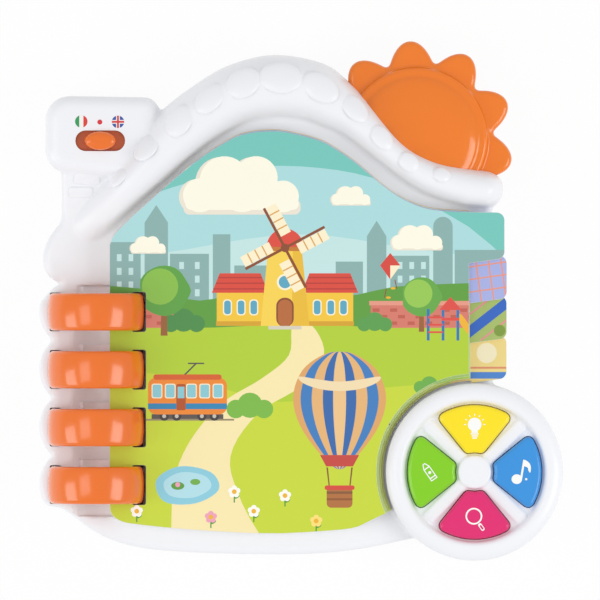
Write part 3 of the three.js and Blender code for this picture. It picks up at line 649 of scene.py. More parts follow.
@dataclass
class House:
    """Moulded housing with the roof band, chimney, spine and tray; sizes in millimetres."""

    tray_z: float = 22.0
    seam_z: float = 10.0
    seam_gap: float = 0.3
    wall: float = 2.2
    voxel: float = 1.05
    rim_round: float = 3.2
    hinge_x: float = -104.9
    hinge_z: float = 27.95
    ring_pitch: float = 29.6
    ring_first_y: float = -5.8
    ring_count: int = 4
    lobe_radius: float = 19.1
    lobe_x: float = -115.4
    trough_radius: float = 11.5
    trough_reach: float = 12.4
    trough_bend: float = 16.5
    rib_radius: float = 9.6
    rib_height: float = 3.4
    ring_width: float = 19.1
    band_base: float = 15.0
    band_fullness: float = 2.35
    chimney_z: float = 31.0
    stack_z: float = 27.0
    stack_slope: float = 0.21
    stack_turn: float = 68.0
    brick_rise: float = 0.7
    band_rows: list = field(default_factory=lambda: [
        ((-121.5, 41.0), (-108.5, 25.0), 21.6), ((-109.5, 53.0), (-97.0, 35.5), 29.0),
        ((-98.3, 63.9), (-83.4, 49.0), 34.5), ((-86.5, 77.5), (-71.6, 59.3), 37.0),
        ((-72.8, 96.2), (-54.0, 74.5), 38.5), ((-55.9, 109.9), (-42.0, 83.5), 39.5),
        ((-37.0, 121.0), (-27.0, 91.7), 40.0), ((-13.6, 126.4), (-12.6, 94.0), 40.0),
        ((11.0, 122.2), (0.5, 93.1), 40.0), ((24.5, 112.9), (11.5, 89.4), 39.0),
        ((36.5, 100.5), (21.5, 85.1), 38.0), ((53.6, 81.4), (41.0, 70.2), 37.0),
        ((68.5, 73.0), (60.5, 56.2), 37.0), ((84.6, 68.9), (81.0, 48.9), 37.0),
        ((95.6, 66.9), (93.6, 47.4), 36.5),
    ])
    beads: list = field(default_factory=lambda: [
        ((-93.5, 64.1), 6.5, 4.8, 85), ((-79.4, 78.9), 7.9, 6.5, 75), ((-62.5, 92.3), 8.7, 6.4, 67),
        ((-46.7, 103.7), 9.0, 6.1, 52), ((-29.4, 111.6), 9.0, 7.4, 38), ((-10.2, 114.3), 10.7, 8.0, -5),
        ((10.1, 109.2), 10.1, 6.9, -33), ((28.1, 98.7), 8.4, 5.6, -50), ((41.8, 83.6), 7.4, 4.9, -50),
        ((55.5, 70.9), 6.0, 4.5, -40), ((72.4, 64.8), 4.8, 4.1, -20),
    ])
    bead_rise: float = 1.5
    bead_sink: float = 0.9
    bead_spread: float = 1.04
    slot_reach: float = 21.2
    slot_width: float = 5.6
    slot_gap: float = 0.8
    grille_centre: Point = (0.0, -60.0)
    grille_pitch: float = 7.5
    grille_hole: float = 1.6
    screw_count: int = 8
    well_bore: float = 3.1
    well_outer: float = 4.0
    well_seat: float = 4.2
    well_top: float = 9.8
    shank_bore: float = 1.6
    door_gap: float = 0.7
    bay_roof: float = 18.6
    bay_wall: float = 1.5

    def ring_centres(self) -> list[float]:
        """Heights up the page of the four rings."""
        return [self.ring_first_y - i * self.ring_pitch for i in range(self.ring_count)]

    def band_at(self, share: float) -> tuple[Vector, Vector, float]:
        """Outer point, inner point and crown height at a share of the band's length.

        Args:
            share: Share of the band's length.

        Returns:
            The two points and the height.
        """
        rows = self.band_rows
        steps = len(rows) - 1
        at = min(max(share, 0.0), 1.0) * steps
        i = min(int(at), steps - 1)
        t = at - i
        near = [rows[max(i - 1, 0)], rows[i], rows[i + 1], rows[min(i + 2, steps)]]
        outer = Vector([_catmull_value([r[0][k] for r in near], t) for k in (0, 1)])
        inner = Vector([_catmull_value([r[1][k] for r in near], t) for k in (0, 1)])
        return outer, inner, _catmull_value([r[2] for r in near], t)

    def band_outline(self, steps: int = 96) -> Outline:
        """Plan outline of the roof band with its round ends.

        Args:
            steps: Steps along the band.

        Returns:
            The outline's points.
        """
        rows = [self.band_at(i / steps) for i in range(steps + 1)]
        outer = [tuple(r[0]) for r in rows]
        inner = [tuple(r[1]) for r in rows]
        start, end = (rows[0][0] + rows[0][1]) / 2, (rows[-1][0] + rows[-1][1]) / 2
        start_half, end_half = (rows[0][0] - rows[0][1]).length / 2, (rows[-1][0] - rows[-1][1]).length / 2
        return [*inner, *arc(*end, end_half, -84, 72, 14)[1:-1], *outer[::-1],
                *arc(*start, start_half, 146, 296, 14)[1:-1]]

    def tray_outline(self) -> Outline:
        """Plan outline of the tray, with the lobes beside the rings.

        Returns:
            The outline's points.
        """
        spread = 0.94 * math.degrees(math.asin(self.ring_pitch / 2 / self.lobe_radius))
        edge = catmull([(-123.0, 50), (-123.2, 41.4), (-126.6, 36.4), (-130.6, 30), (-132.6, 22.5),
                        (-131.6, 15.6), (-127.6, 10.8),
                        (-123.4, 9.0), (-127.6, 6.2), (-131.6, 1.8)], 40)
        for i, y in enumerate(self.ring_centres()):
            first, last = spread if i else 14, spread if i < self.ring_count - 1 else 30
            edge += arc(self.lobe_x, y, self.lobe_radius, 180 - first, 180 + last, 14)
        edge += catmull([(-129.4, -105.9), (-123.6, -106.6), (-117.3, -110.6), (-103.1, -120.5),
                         (-81.4, -127.2),
                         (-46, -129.9), (0, -130.4), (29.5, -127.9), (57.1, -122.4)], 50)
        edge += [(76, -92), (98.7, -58), (98.7, 54)]
        middle = [tuple((Vector(r[0]) + Vector(r[1])) / 2) for r in self.band_rows[1:14]]
        return edge + middle[::-1] + [(-110, 54)]

    def chimney_outline(self) -> Outline:
        """Plan outline of the chimney's head."""
        return [*arc(-80.5, 96.5, 8, 0, 90, 10), *arc(-118.7, 92.7, 12.4, 90, 180, 14),
                *arc(-120, 77, 11.1, 180, 262, 10), (-104, 64), (-84, 62), (-74, 80)]

    def stack_outline(self) -> Outline:
        """Plan outline of the chimney's foot."""
        return [(-90, 62), (-94, 70), *arc(-119.9, 70, 3, 90, 180, 4), (-122.9, 60), (-122.7, 48.5),
                (-120.5, 44.5),
                (-112, 44)]

    def dome_height(self, share: float, crown: float) -> float:
        """Height of the band's skin at a share of its half width from the middle."""
        full = max(0.0, 1 - abs(share) ** self.band_fullness) ** (1 / self.band_fullness)
        return self.band_base + (crown - self.band_base) * full

    def band_dome(self, steps: int = 150, arcs: int = 22) -> bmesh.types.BMesh:
        """Domed roof band, bent from a flat grid and closed below.

        Args:
            steps: Steps along the band.
            arcs: Steps across the band.

        Returns:
            The closed mesh.
        """
        bm = bmesh.new()
        bmesh.ops.create_grid(bm, x_segments=steps, y_segments=arcs, size=1.0)
        for vert in bm.verts:
            outer, inner, crown = self.band_at((vert.co.x + 1) / 2)
            angle = math.pi * (vert.co.y + 1) / 2
            middle, half = (outer + inner) / 2, (outer - inner) / 2
            place = middle - half * math.cos(angle)
            vert.co = (place.x, place.y, self.dome_height(math.cos(angle), crown))
        self._close_below(bm, 2.0)
        return bm

    @staticmethod
    def _close_below(bm: bmesh.types.BMesh, level: float) -> None:
        """Closes an open skin with straight walls down to a flat face.

        Args:
            bm: Mesh to work on.
            level: Height of the flat face.
        """
        rims = [e for e in bm.edges if e.is_boundary]
        low = only_verts(bmesh.ops.extrude_edge_only(bm, edges=rims)["geom"])
        for vert in low:
            vert.co.z = level
        bottom = [e for e in bm.edges if e.is_boundary]
        bmesh.ops.edgenet_fill(bm, edges=bottom)
        bmesh.ops.triangulate(bm, faces=[f for f in bm.faces if len(f.verts) > 4])
        bmesh.ops.recalc_face_normals(bm, faces=bm.faces[:])

    def band_caps(self) -> list[bmesh.types.BMesh]:
        """Round ends of the band.

        Returns:
            One closed mesh for each.
        """
        parts = []
        for share in (0.0, 1.0):
            outer, inner, crown = self.band_at(share)
            at, half = (outer + inner) / 2, (outer - inner).length / 2
            end = ball(at.x, at.y, 0, (half, half, 1.0), steps=64)
            for vert in end.verts:
                level = max(0.0, vert.co.z)
                vert.co.z = self.dome_height(math.sqrt(max(0.0, 1 - level ** 2)), crown) if level else 3.0
            parts.append(end)
        return parts

    def bead_parts(self) -> list[bmesh.types.BMesh]:
        """Shallow oval beads that lie on the crest, each tipped to the skin under it.

        Returns:
            One closed mesh for each.
        """
        parts = []
        for (x, y), length, width, turn in self.beads:
            here = Vector((x, y))
            rows = [self.band_at(i / 300) for i in range(301)]
            outer, inner, crown = min(rows, key=lambda row: ((row[0] + row[1]) / 2 - here).length)
            across, middle, half = (outer - inner).normalized(), (outer + inner) / 2, (outer - inner).length / 2
            offset = max(-0.85 * half, min(0.85 * half, (here - middle).dot(across)))
            level = self.dome_height(offset / half, crown)
            near, far = (self.dome_height((offset + step) / half, crown) for step in (-0.2, 0.2))
            slope = (far - near) / 0.4
            normal = Vector((-across.x * slope, -across.y * slope, 1)).normalized()
            long_way = Vector((math.cos(math.radians(turn)), math.sin(math.radians(turn)), 0))
            long_way = (long_way - normal * long_way.dot(normal)).normalized()
            wide_way = normal.cross(long_way)
            seat = Vector((x, y, level)) - normal * self.bead_sink
            spread = self.bead_spread
            bead = ball(0, 0, 0, (length * spread, width * spread, self.bead_rise + self.bead_sink), steps=48)
            for vert in bead.verts:
                vert.co.z = max(vert.co.z, 0.0)
            bmesh.ops.dissolve_limit(bead, angle_limit=0.01, verts=bead.verts[:], edges=bead.edges[:])
            frame_of_bead = Matrix((long_way, wide_way, normal)).transposed().to_4x4()
            bmesh.ops.transform(bead, matrix=Matrix.Translation(seat) @ frame_of_bead, verts=bead.verts[:])
            parts.append(bead)
        return parts

    def trough(self, low_y: float, high_y: float) -> bmesh.types.BMesh:
        """Lying cylinder under the hinge line, which opens to the trough's reach at the tray.

        Args:
            low_y: Its lower end on the page.
            high_y: Its upper end on the page.

        Returns:
            The closed mesh.
        """
        radius, length = self.trough_bend, high_y - low_y
        level = self.tray_z + math.sqrt(radius ** 2 - self.trough_reach ** 2)
        bm = lathe(0, 0, [(0, 0), (radius - 1.5, 0), (radius, 1.5), (radius, length - 1.5),
                          (radius - 1.5, length), (0, length)], 96)
        turn = Matrix.Translation((self.hinge_x, low_y, level)) @ Matrix.Rotation(math.radians(-90), 4, "X")
        bmesh.ops.transform(bm, matrix=turn, verts=bm.verts[:])
        return bm

    def block(self, pod: "PlayPod", sun: "Sun") -> bpy.types.Object:
        """The whole housing as one soft-edged block.

        Args:
            pod: The play pod that it fits.
            sun: The sun that it fits.

        Returns:
            The piece.
        """
        top = self.rim_round
        parts = [
            prism(self.tray_outline(), 0, self.tray_z, top, top),
            prism(self.band_outline(), 0, self.tray_z - 2, 1, top),
            prism(disc(pod.x, pod.y, pod.radius, 96), 0, pod.seat_z, 1.2, top),
            prism(self.chimney_outline(), 0, self.chimney_z, 6.5, top, segments=8),
            self.stack(),
            prism(disc(sun.x, sun.y, sun.seat_radius, 72), 0, sun.seat_z, 1.2, top),
            self.band_dome(), *self.band_caps(),
        ]
        block = to_object(merged(parts), "housing_block")
        return thinned(fused(block, self.voxel, 5), 0.5)

    def stack(self) -> bmesh.types.BMesh:
        """Foot of the chimney, which slopes down to the tray.

        Returns:
            The closed mesh.
        """
        bm = prism(self.stack_outline(), 0, self.stack_z, 2.6, self.rim_round)
        self.sloped(bm)
        return bm

    def sloped(self, bm: bmesh.types.BMesh) -> None:
        """Lowers the upper part of a piece along the chimney's slope.

        Args:
            bm: Mesh to work on.
        """
        for vert in bm.verts:
            if vert.co.z > self.tray_z - 6:
                vert.co.z -= self.stack_slope * max(0.0, self.stack_turn - vert.co.y)

    def bricks(self) -> list[bmesh.types.BMesh]:
        """Faint raised bricks on the chimney's foot.

        Returns:
            One closed mesh for each.
        """
        bricks = []
        for x, y, width, height in ((-109.6, 62.6, 13.4, 6.0), (-112.8, 55.6, 12.4, 5.6)):
            brick = prism(pill(x, y, width, height, 1.6), self.stack_z - 1.4, self.stack_z + self.brick_rise,
                          0.8, segments=5)
            self.sloped(brick)
            bricks.append(brick)
        return bricks

    def ribs(self, y: float) -> bmesh.types.BMesh:
        """White bar under the upper edge of one ring, hollowed towards the leaves.

        Args:
            y: Middle of the ring up the page.

        Returns:
            The closed mesh.
        """
        top = y + self.ring_width / 2 + self.rib_height
        bm = bmesh.new()
        verts = [bm.verts.new(p) for p in self._rib_section(top)]
        bm.faces.new(verts)
        moved = bmesh.ops.extrude_face_region(bm, geom=bm.faces[:])["geom"]
        bmesh.ops.translate(bm, verts=only_verts(moved), vec=(0, -2 * self.rib_height, 0))
        bmesh.ops.recalc_face_normals(bm, faces=bm.faces[:])
        edges = [e for e in bm.edges if e.calc_face_angle(0) > 0.6]
        bmesh.ops.bevel(bm, geom=edges, offset=0.5, segments=3, profile=0.5, affect="EDGES", material=-1)
        return bm

    def _rib_section(self, y: float) -> list[tuple[float, float, float]]:
        """Section of a rib: two arcs about the hinge line.

        Args:
            y: Place of the section up the page.

        Returns:
            The section's points.
        """
        upper = arc(self.hinge_x, self.hinge_z, self.rib_radius, 270 - 49, 270 + 49, 16)
        lower = arc(self.hinge_x, self.hinge_z, self.trough_radius + 1.6, 270 + 46, 270 - 46, 16)
        return [(x, y, z) for x, z in upper + lower]

    def shell(self, block: bpy.types.Object) -> bpy.types.Object:
        """Cuts the trough into the block and hollows it to the wall.

        Args:
            block: The whole housing.

        Returns:
            The piece.
        """
        cut(block, self.trough(-111, 8))
        ease = block.modifiers.new("ease", "SMOOTH")
        ease.factor = 0.5
        ease.iterations = 2
        baked(block)
        core = block.copy()
        core.data = block.data.copy()
        core.name = "core"
        bpy.context.scene.collection.objects.link(core)
        inward = core.modifiers.new("inward", "DISPLACE")
        inward.strength = -self.wall * MM
        inward.mid_level = 0.0
        fused(core, 1.9, 2)
        hollow = block.modifiers.new("hollow", "BOOLEAN")
        hollow.operation = "DIFFERENCE"
        hollow.object = core
        hollow.solver = "MANIFOLD"
        baked(block)
        bpy.data.objects.remove(core)
        return block

    def half(self, shell: bpy.types.Object, name: str, low: float, high: float) -> bpy.types.Object:
        """One half of the shell: what lies outside a slab is left.

        Args:
            shell: The hollow housing.
            name: Name of the piece.
            low: Lower level of the slab.
            high: Upper level of the slab.

        Returns:
            The piece.
        """
        half = shell.copy()
        half.data = shell.data.copy()
        half.name = name
        bpy.context.scene.collection.objects.link(half)
        return cut(half, prism(rectangle(0, 0, 400, 400), low, high))

    def front(self, shell: bpy.types.Object, pod: "PlayPod", slider: "Slider", sun: "Sun") -> None:
        """Front shell with the ring slots, the slider slot and the pod's mouth.

        Args:
            shell: The hollow housing.
            pod: The play pod that it fits.
            slider: The slider that it fits.
            sun: The sun that it fits.
        """
        shell = self.half(shell, "front_housing", -60, self.seam_z + self.seam_gap / 2)
        for y in self.ring_centres():
            for side in (-1, 1):
                slot = pill(self.hinge_x + side * self.slot_reach, y, self.slot_width,
                            self.ring_width + self.slot_gap, 0.8)
                cut(shell, prism(slot, self.tray_z - 8, self.tray_z + 8))
        cut(shell, prism(pill(slider.x, slider.y, slider.slot_length, slider.slot_width,
                              slider.slot_width / 2 - 0.1),
                         self.chimney_z - 6, self.chimney_z + 6))
        cut(shell, prism(disc(pod.x, pod.y, pod.mouth, 96), pod.seat_z - 8, pod.seat_z + 8))
        cut(shell, prism(disc(sun.x + 2, sun.y + 2, 8, 32), sun.seat_z - 6, sun.seat_z + 6))
        for raised in (*self.bead_parts(), *self.bricks()):
            joined(shell, raised)
        finish(shell, WHITE, HOUSING, ("front_shell",), sharp_degrees=50)
        ribs = to_object(merged([self.ribs(y) for y in self.ring_centres()]), "spine_ribs")
        finish(ribs, WHITE, HOUSING)

    def rear(self, shell: bpy.types.Object) -> None:
        """Rear shell with the battery opening, grille and screw holes.

        Args:
            shell: The hollow housing.
        """
        shell = self.half(shell, "rear_housing", self.seam_z - self.seam_gap / 2, 90)
        x, y, width, height = self.held("battery_door")
        cut(shell, prism(pill(x, y, width + self.door_gap, height + self.door_gap, 1.0), -2, 8))
        middle_x, middle_y = self.grille_centre
        holes = [prism(disc(middle_x, middle_y, self.grille_hole, 16), -2, 6)]
        for row in (1, 2):
            reach = row * self.grille_pitch
            for i in range(row * 6):
                angle = 2 * math.pi * i / (row * 6)
                hole = disc(middle_x + reach * math.cos(angle), middle_y + reach * math.sin(angle),
                            self.grille_hole, 16)
                holes.append(prism(hole, -2, 6))
        for i in range(self.screw_count):
            x, y, _, _ = self.held(f"housing_screw_{i + 1}")
            holes.append(prism(disc(x, y, self.well_bore, 20), -2, 6))
        cut(shell, merged(holes))
        finish(shell, WHITE, HOUSING, ("rear_shell",), sharp_degrees=50)
        self.wells()

    @staticmethod
    def held(node: str) -> tuple[float, float, float, float]:
        """Middle and size of a held node on the page."""
        low, high = (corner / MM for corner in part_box(node))
        return (low.x + high.x) / 2, (low.y + high.y) / 2, high.x - low.x, high.y - low.y

    def wells(self) -> None:
        """Screw wells and the battery bay behind the openings of the rear shell."""
        bore, outer, shank = self.well_bore, self.well_outer, self.shank_bore
        rows = [(bore, 1.6), (outer, 1.6), (outer, self.well_top), (shank, self.well_top),
                (shank, self.well_seat),
                (bore, self.well_seat), (bore, 1.6)]
        parts = []
        for i in range(self.screw_count):
            x, y, _, _ = self.held(f"housing_screw_{i + 1}")
            parts.append(lathe(x, y, rows, 24))
        finish(to_object(merged(parts), "screw_wells"), WHITE, HOUSING)
        x, y, width, height = self.held("battery_door")
        bay = to_object(prism(rectangle(x, y, width - 2.8, height - 2.8), 2.3, self.bay_roof), "battery_bay")
        cut(bay, prism(rectangle(x, y, width - 6, height - 6), 1, self.bay_roof - self.bay_wall))
        finish(bay, WHITE, HOUSING)


def thinned(piece: bpy.types.Object, ratio: float) -> bpy.types.Object:
    """Drops faces where the skin is plain.

    Args:
        piece: Piece to work on.
        ratio: Share of the faces that stays.

    Returns:
        The piece.
    """
    decimate = piece.modifiers.new("thin", "DECIMATE")
    decimate.ratio = ratio
    return baked(piece)


@dataclass
class Sun:
    """Orange light cover with petals; sizes in millimetres."""

    x: float = 59.6
    y: float = 83.3
    seat_radius: float = 36.0
    seat_z: float = 14.0
    valley: float = 38.2
    reach: float = 12.2
    petals: int = 10
    first_petal: float = 130.0
    petal_z: float = 23.0
    disc_radius: float = 36.5
    disc_z: float = 26.0
    dome_radius: float = 31.5
    dome_z: float = 31.0
    clearance: float = -2.2

    def petal_outline(self) -> Outline:
        """Round petals about the centre.

        Returns:
            The outline's points.
        """
        steps = self.petals * 30
        angles = [2 * math.pi * i / steps for i in range(steps)]
        waves = [0.5 + 0.5 * math.cos(self.petals * (angle - math.radians(self.first_petal)))
                 for angle in angles]
        full = [max(0.0, wave) ** 0.52 for wave in waves]
        radii = [self.valley + self.reach * sum(full[(i + k) % steps] for k in range(-2, 3)) / 5
                 for i in range(steps)]
        return [(self.x + radius * math.cos(angle), self.y + radius * math.sin(angle))
                for radius, angle in zip(radii, angles)]

    def build(self, house: House) -> None:
        """Lens: petal plate, step and dome as one soft moulding, clipped along the roof band.

        Args:
            house: The housing that it fits.
        """
        low = self.seat_z + 0.3
        dome = [(0, self.disc_z - 3), (self.dome_radius, self.disc_z - 3)]
        for i in range(13):
            angle = math.radians(90 * i / 12)
            dome.append((self.dome_radius * math.cos(angle) if i < 12 else 0.0,
                         self.disc_z + (self.dome_z - self.disc_z) * math.sin(angle)))
        rim = [(0, low + 2), (self.disc_radius, low + 2), (self.disc_radius, self.disc_z - 1.6),
               (self.disc_radius - 0.6, self.disc_z - 0.4), (self.disc_radius - 1.8, self.disc_z),
               (0, self.disc_z)]
        parts = [prism(self.petal_outline(), low, self.petal_z, 2.6, 1.0, segments=5),
                 lathe(self.x, self.y, rim), lathe(self.x, self.y, dome)]
        lens = fused(to_object(merged(parts), "sun_cover"), 0.7, 5)
        cut(lens, prism(grown(house.band_outline(), self.clearance), 0, 60))
        tray = grown(house.tray_outline(), 0.1)
        cut(lens, prism(tray, 0, 60), solver="EXACT")
        keep_largest(lens)
        finish(lens, LENS, HOUSING, ("sun_lens",), sharp_degrees=45)


def keep_largest(piece: bpy.types.Object) -> bpy.types.Object:
    """Keeps the largest connected part of a mesh.

    Args:
        piece: Piece to work on.

    Returns:
        The piece.
    """
    bm = bmesh.new()
    bm.from_mesh(piece.data)
    left, groups = set(bm.verts), []
    while left:
        stack, group = [left.pop()], []
        while stack:
            vert = stack.pop()
            group.append(vert)
            for edge in vert.link_edges:
                other = edge.other_vert(vert)
                if other in left:
                    left.discard(other)
                    stack.append(other)
        groups.append(group)
    groups.sort(key=len)
    for group in groups[:-1]:
        bmesh.ops.delete(bm, geom=group, context="VERTS")
    bm.to_mesh(piece.data)
    bm.free()
    return piece


@dataclass
class PlayPod:
    """Round cover with four wedge buttons; sizes in millimetres."""

    x: float = 89.2
    y: float = -87.9
    radius: float = 45.7
    seat_z: float = 24.0
    mouth: float = 38.0
    bezel_radius: float = 45.5
    crest_radius: float = 38.6
    crest_z: float = 38.0
    crest_base: float = 33.0
    basin_radius: float = 35.4
    basin_z: float = 33.6
    spoke_half: float = 3.4
    spoke_rise: float = 1.1
    hub_radius: float = 8.7
    button_inner: float = 9.6
    button_outer: float = 34.3
    button_apex: float = 4.4
    half_angle: float = 39.0
    button_top: float = 37.4
    button_low: float = 29.9
    plunger_z: float = 29.25
    plunger_radius: float = 3.0
    flange: float = 1.1
    flange_height: float = 1.4
    icon_reach: float = 23.2
    icon_film: float = 0.12
    corner_run: float = 4.2
    gap: float = 0.55

    def bezel(self) -> None:
        """White cover: crest, basin, hub and spokes, with the four windows."""
        rows = [(0, self.seat_z + 0.3), (self.bezel_radius, self.seat_z + 0.3)]
        for degrees in range(0, 181, 10):
            span = self.crest_radius - self.basin_radius if degrees > 90 else self.bezel_radius - self.crest_radius
            rows.append((self.crest_radius + span * math.cos(math.radians(degrees)),
                         self.crest_base + (self.crest_z - self.crest_base) * math.sin(math.radians(degrees))))
        rows += [(self.basin_radius, self.basin_z), (0, self.basin_z)]
        parts = [lathe(self.x, self.y, rows, 128)]
        parts.append(lathe(self.x, self.y, [(0, self.basin_z - 1), (self.hub_radius, self.basin_z - 1),
                                            (self.hub_radius, self.basin_z + 1.9),
                                            (self.hub_radius - 0.5, self.basin_z + 2.4),
                                            (self.hub_radius - 1.2, self.basin_z + 2.6),
                                            (0, self.basin_z + 2.8)], 64))
        for degrees in (45, 135):
            bar = turned(pill(self.x, self.y, 2 * self.basin_radius, 2 * self.spoke_half, 2.3), degrees,
                         self.x, self.y)
            parts.append(prism(bar, self.basin_z - 1, self.basin_z + self.spoke_rise, 0.9))
        cover = fused(to_object(merged(parts), "pod_cover"), 0.7, 2)
        cut(cover, lathe(self.x, self.y, [(0, self.seat_z - 2), (self.bezel_radius - 2, self.seat_z - 2),
                                          (self.bezel_radius - 2, self.crest_base),
                                          (self.basin_radius + 2, self.crest_base),
                                          (self.basin_radius + 2, self.basin_z - 2), (0, self.basin_z - 2)],
                                          96))
        for turn in (0, 90, 180, 270):
            cut(cover, prism(self.wedge(turn, self.gap), 20, 60))
        finish(cover, WHITE, HOUSING, ("control_bezel",), sharp_degrees=45)

    def wedge(self, turn: float, grow: float) -> Outline:
        """Outline of one button, turned about the pod's centre.

        Args:
            turn: Direction from the pod's centre in degrees.
            grow: How far outwards it is moved.

        Returns:
            The outline's points.
        """
        lean = math.radians(self.half_angle)
        apex = self.button_inner - self.button_apex / math.tan(lean)
        reach = -apex * math.cos(lean) + math.sqrt(self.button_outer ** 2 - (apex * math.sin(lean)) ** 2)
        corner = Vector((apex + reach * math.cos(lean), reach * math.sin(lean)))
        back = corner - self.corner_run * Vector((math.cos(lean), math.sin(lean)))
        tip = math.degrees(math.atan2(corner.y, corner.x)) - math.degrees(self.corner_run / self.button_outer)
        on_arc = Vector(arc(0, 0, self.button_outer, tip, tip, 1)[0])
        near = Vector((self.button_inner + 1.4, self.button_apex + 1.4 * math.tan(lean)))
        end = Vector((self.button_inner + 0.1, self.button_apex - 1.4))
        inner = Vector((self.button_inner, self.button_apex))
        upper = [*bent(back, corner, on_arc, 10)[::-1], *bent(near, inner, end, 5),
                 (self.button_inner + 0.45, 0.0)]
        lower = [(x, -y) for x, y in upper[:-1]][::-1]
        raw = arc(0, 0, self.button_outer, -tip, tip, 24)[1:-1] + upper + lower
        return [(self.x + px, self.y + py) for px, py in turned(grown(raw, grow), turn)]

    def button(self, name: str, look: Plastic, turn: float, icon: list[Layer]) -> None:
        """One coloured button with its white print.

        Args:
            name: The frame node that it stands for.
            look: Its plastic.
            turn: Its direction from the pod's centre in degrees.
            icon: Flat outlines of the print about the button's middle.
        """
        cx = self.x + self.icon_reach * math.cos(math.radians(turn))
        cy = self.y + self.icon_reach * math.sin(math.radians(turn))
        cap = to_object(prism(self.wedge(turn, 0), self.button_low, self.button_top, 2.0, segments=7),
                        f"{name}_cap")
        for extra in (prism(self.wedge(turn, self.flange), self.button_low,
                            self.button_low + self.flange_height),
                      prism(disc(cx, cy, self.plunger_radius, 32), self.plunger_z, self.button_low + 1)):
            joined(cap, extra)
        finish(cap, look, name, (name,), sharp_degrees=40)
        placed = [([(cx + px, cy + py) for px, py in outline], code) for outline, code in icon]
        bounds = (rectangle(cx, cy, 30, 30), HOLE)
        sheet = sheet_mesh([bounds, *placed], self.button_top - 0.05, self.button_top + self.icon_film)
        print_piece = to_object(sheet, f"{name}_icon")
        finish(print_piece, ICON, name)

    def build(self) -> None:
        """Cover and buttons."""
        self.bezel()
        for name, look, slot, turn, icon in (
            ("button_note", BLUE, "blue_plastic", 0, note_icon()),
            ("button_lamp", YELLOW, "yellow_plastic", 90, lamp_icon()),
            ("button_pencil", GREEN, "green_plastic", 180, crayon_icon()),
            ("button_glass", MAGENTA, "magenta_plastic", 270, glass_icon()),
        ):
            self.button(name, look, turn, icon)


INK = "FFFFFF"


def note_icon() -> list[Layer]:
    """Music note with its flag and a dot.

    Returns:
        Coloured outlines, the last on top.
    """
    flag = [(2.2, 6.2), (4.6, 4.9), (5.6, 2.6), (5.3, -0.2), (4.4, 0.6), (4.0, 2.2), (2.4, 3.0), (1.6, 3.2)]
    return [(disc(-1.6, -3.6, 2.7, 28, 0.92), INK), ([(0.1, -3.2), (1.1, -3.6), (2.7, 6.2), (1.7, 6.4)], INK),
            (blob(flag, 4), INK), (disc(3.2, -3.6, 0.6, 12), INK)]


def lamp_icon() -> list[Layer]:
    """Light bulb with a socket and rays.

    Returns:
        Coloured outlines, the last on top.
    """
    layers = [(disc(0, 1.2, 3.5, 32), INK), (rectangle(0, -2.4, 3.2, 1.4), INK)]
    layers += [(pill(0, -3.6 - i * 1.05, 4.2 - i * 0.9, 0.7, 0.3), INK) for i in range(3)]
    for degrees in (0, 30, 60, 90, 120, 150, 180):
        layers.append((turned(rectangle(0, 6.2, 0.5, 1.0), degrees - 90, 0, 1.2), INK))
    return layers


def crayon_icon() -> list[Layer]:
    """Crayon in outline, lying askew.

    Returns:
        Coloured outlines, the last on top.
    """
    outer = [(-1.9, -4.6), (1.9, -4.6), (1.9, 2.6), (0.7, 5.2), (-0.7, 5.2), (-1.9, 2.6)]
    inner = [(-1.4, -4.1), (1.4, -4.1), (1.4, 2.4), (0.4, 4.7), (-0.4, 4.7), (-1.4, 2.4)]
    shapes = [(blob(outer, 1), INK), (inner, HOLE), (rectangle(0, 2.4, 3.0, 0.6), INK),
              (rectangle(0, -3.0, 3.0, 0.6), INK),
              (disc(0, -0.3, 0.8, 16), INK)]
    return [(turned(shape, 35), code) for shape, code in shapes]


def glass_icon() -> list[Layer]:
    """Magnifying glass in outline."""
    handle = [(turned(pill(0, -6.0, 1.9, 4.2, 0.8), 35), INK), (turned(pill(0, -6.2, 1.0, 2.6, 0.4), 35),
                                                                HOLE)]
    return [*handle, (disc(-0.4, 0.6, 4.3, 40), INK), (disc(-0.4, 0.6, 3.5, 40), HOLE)]


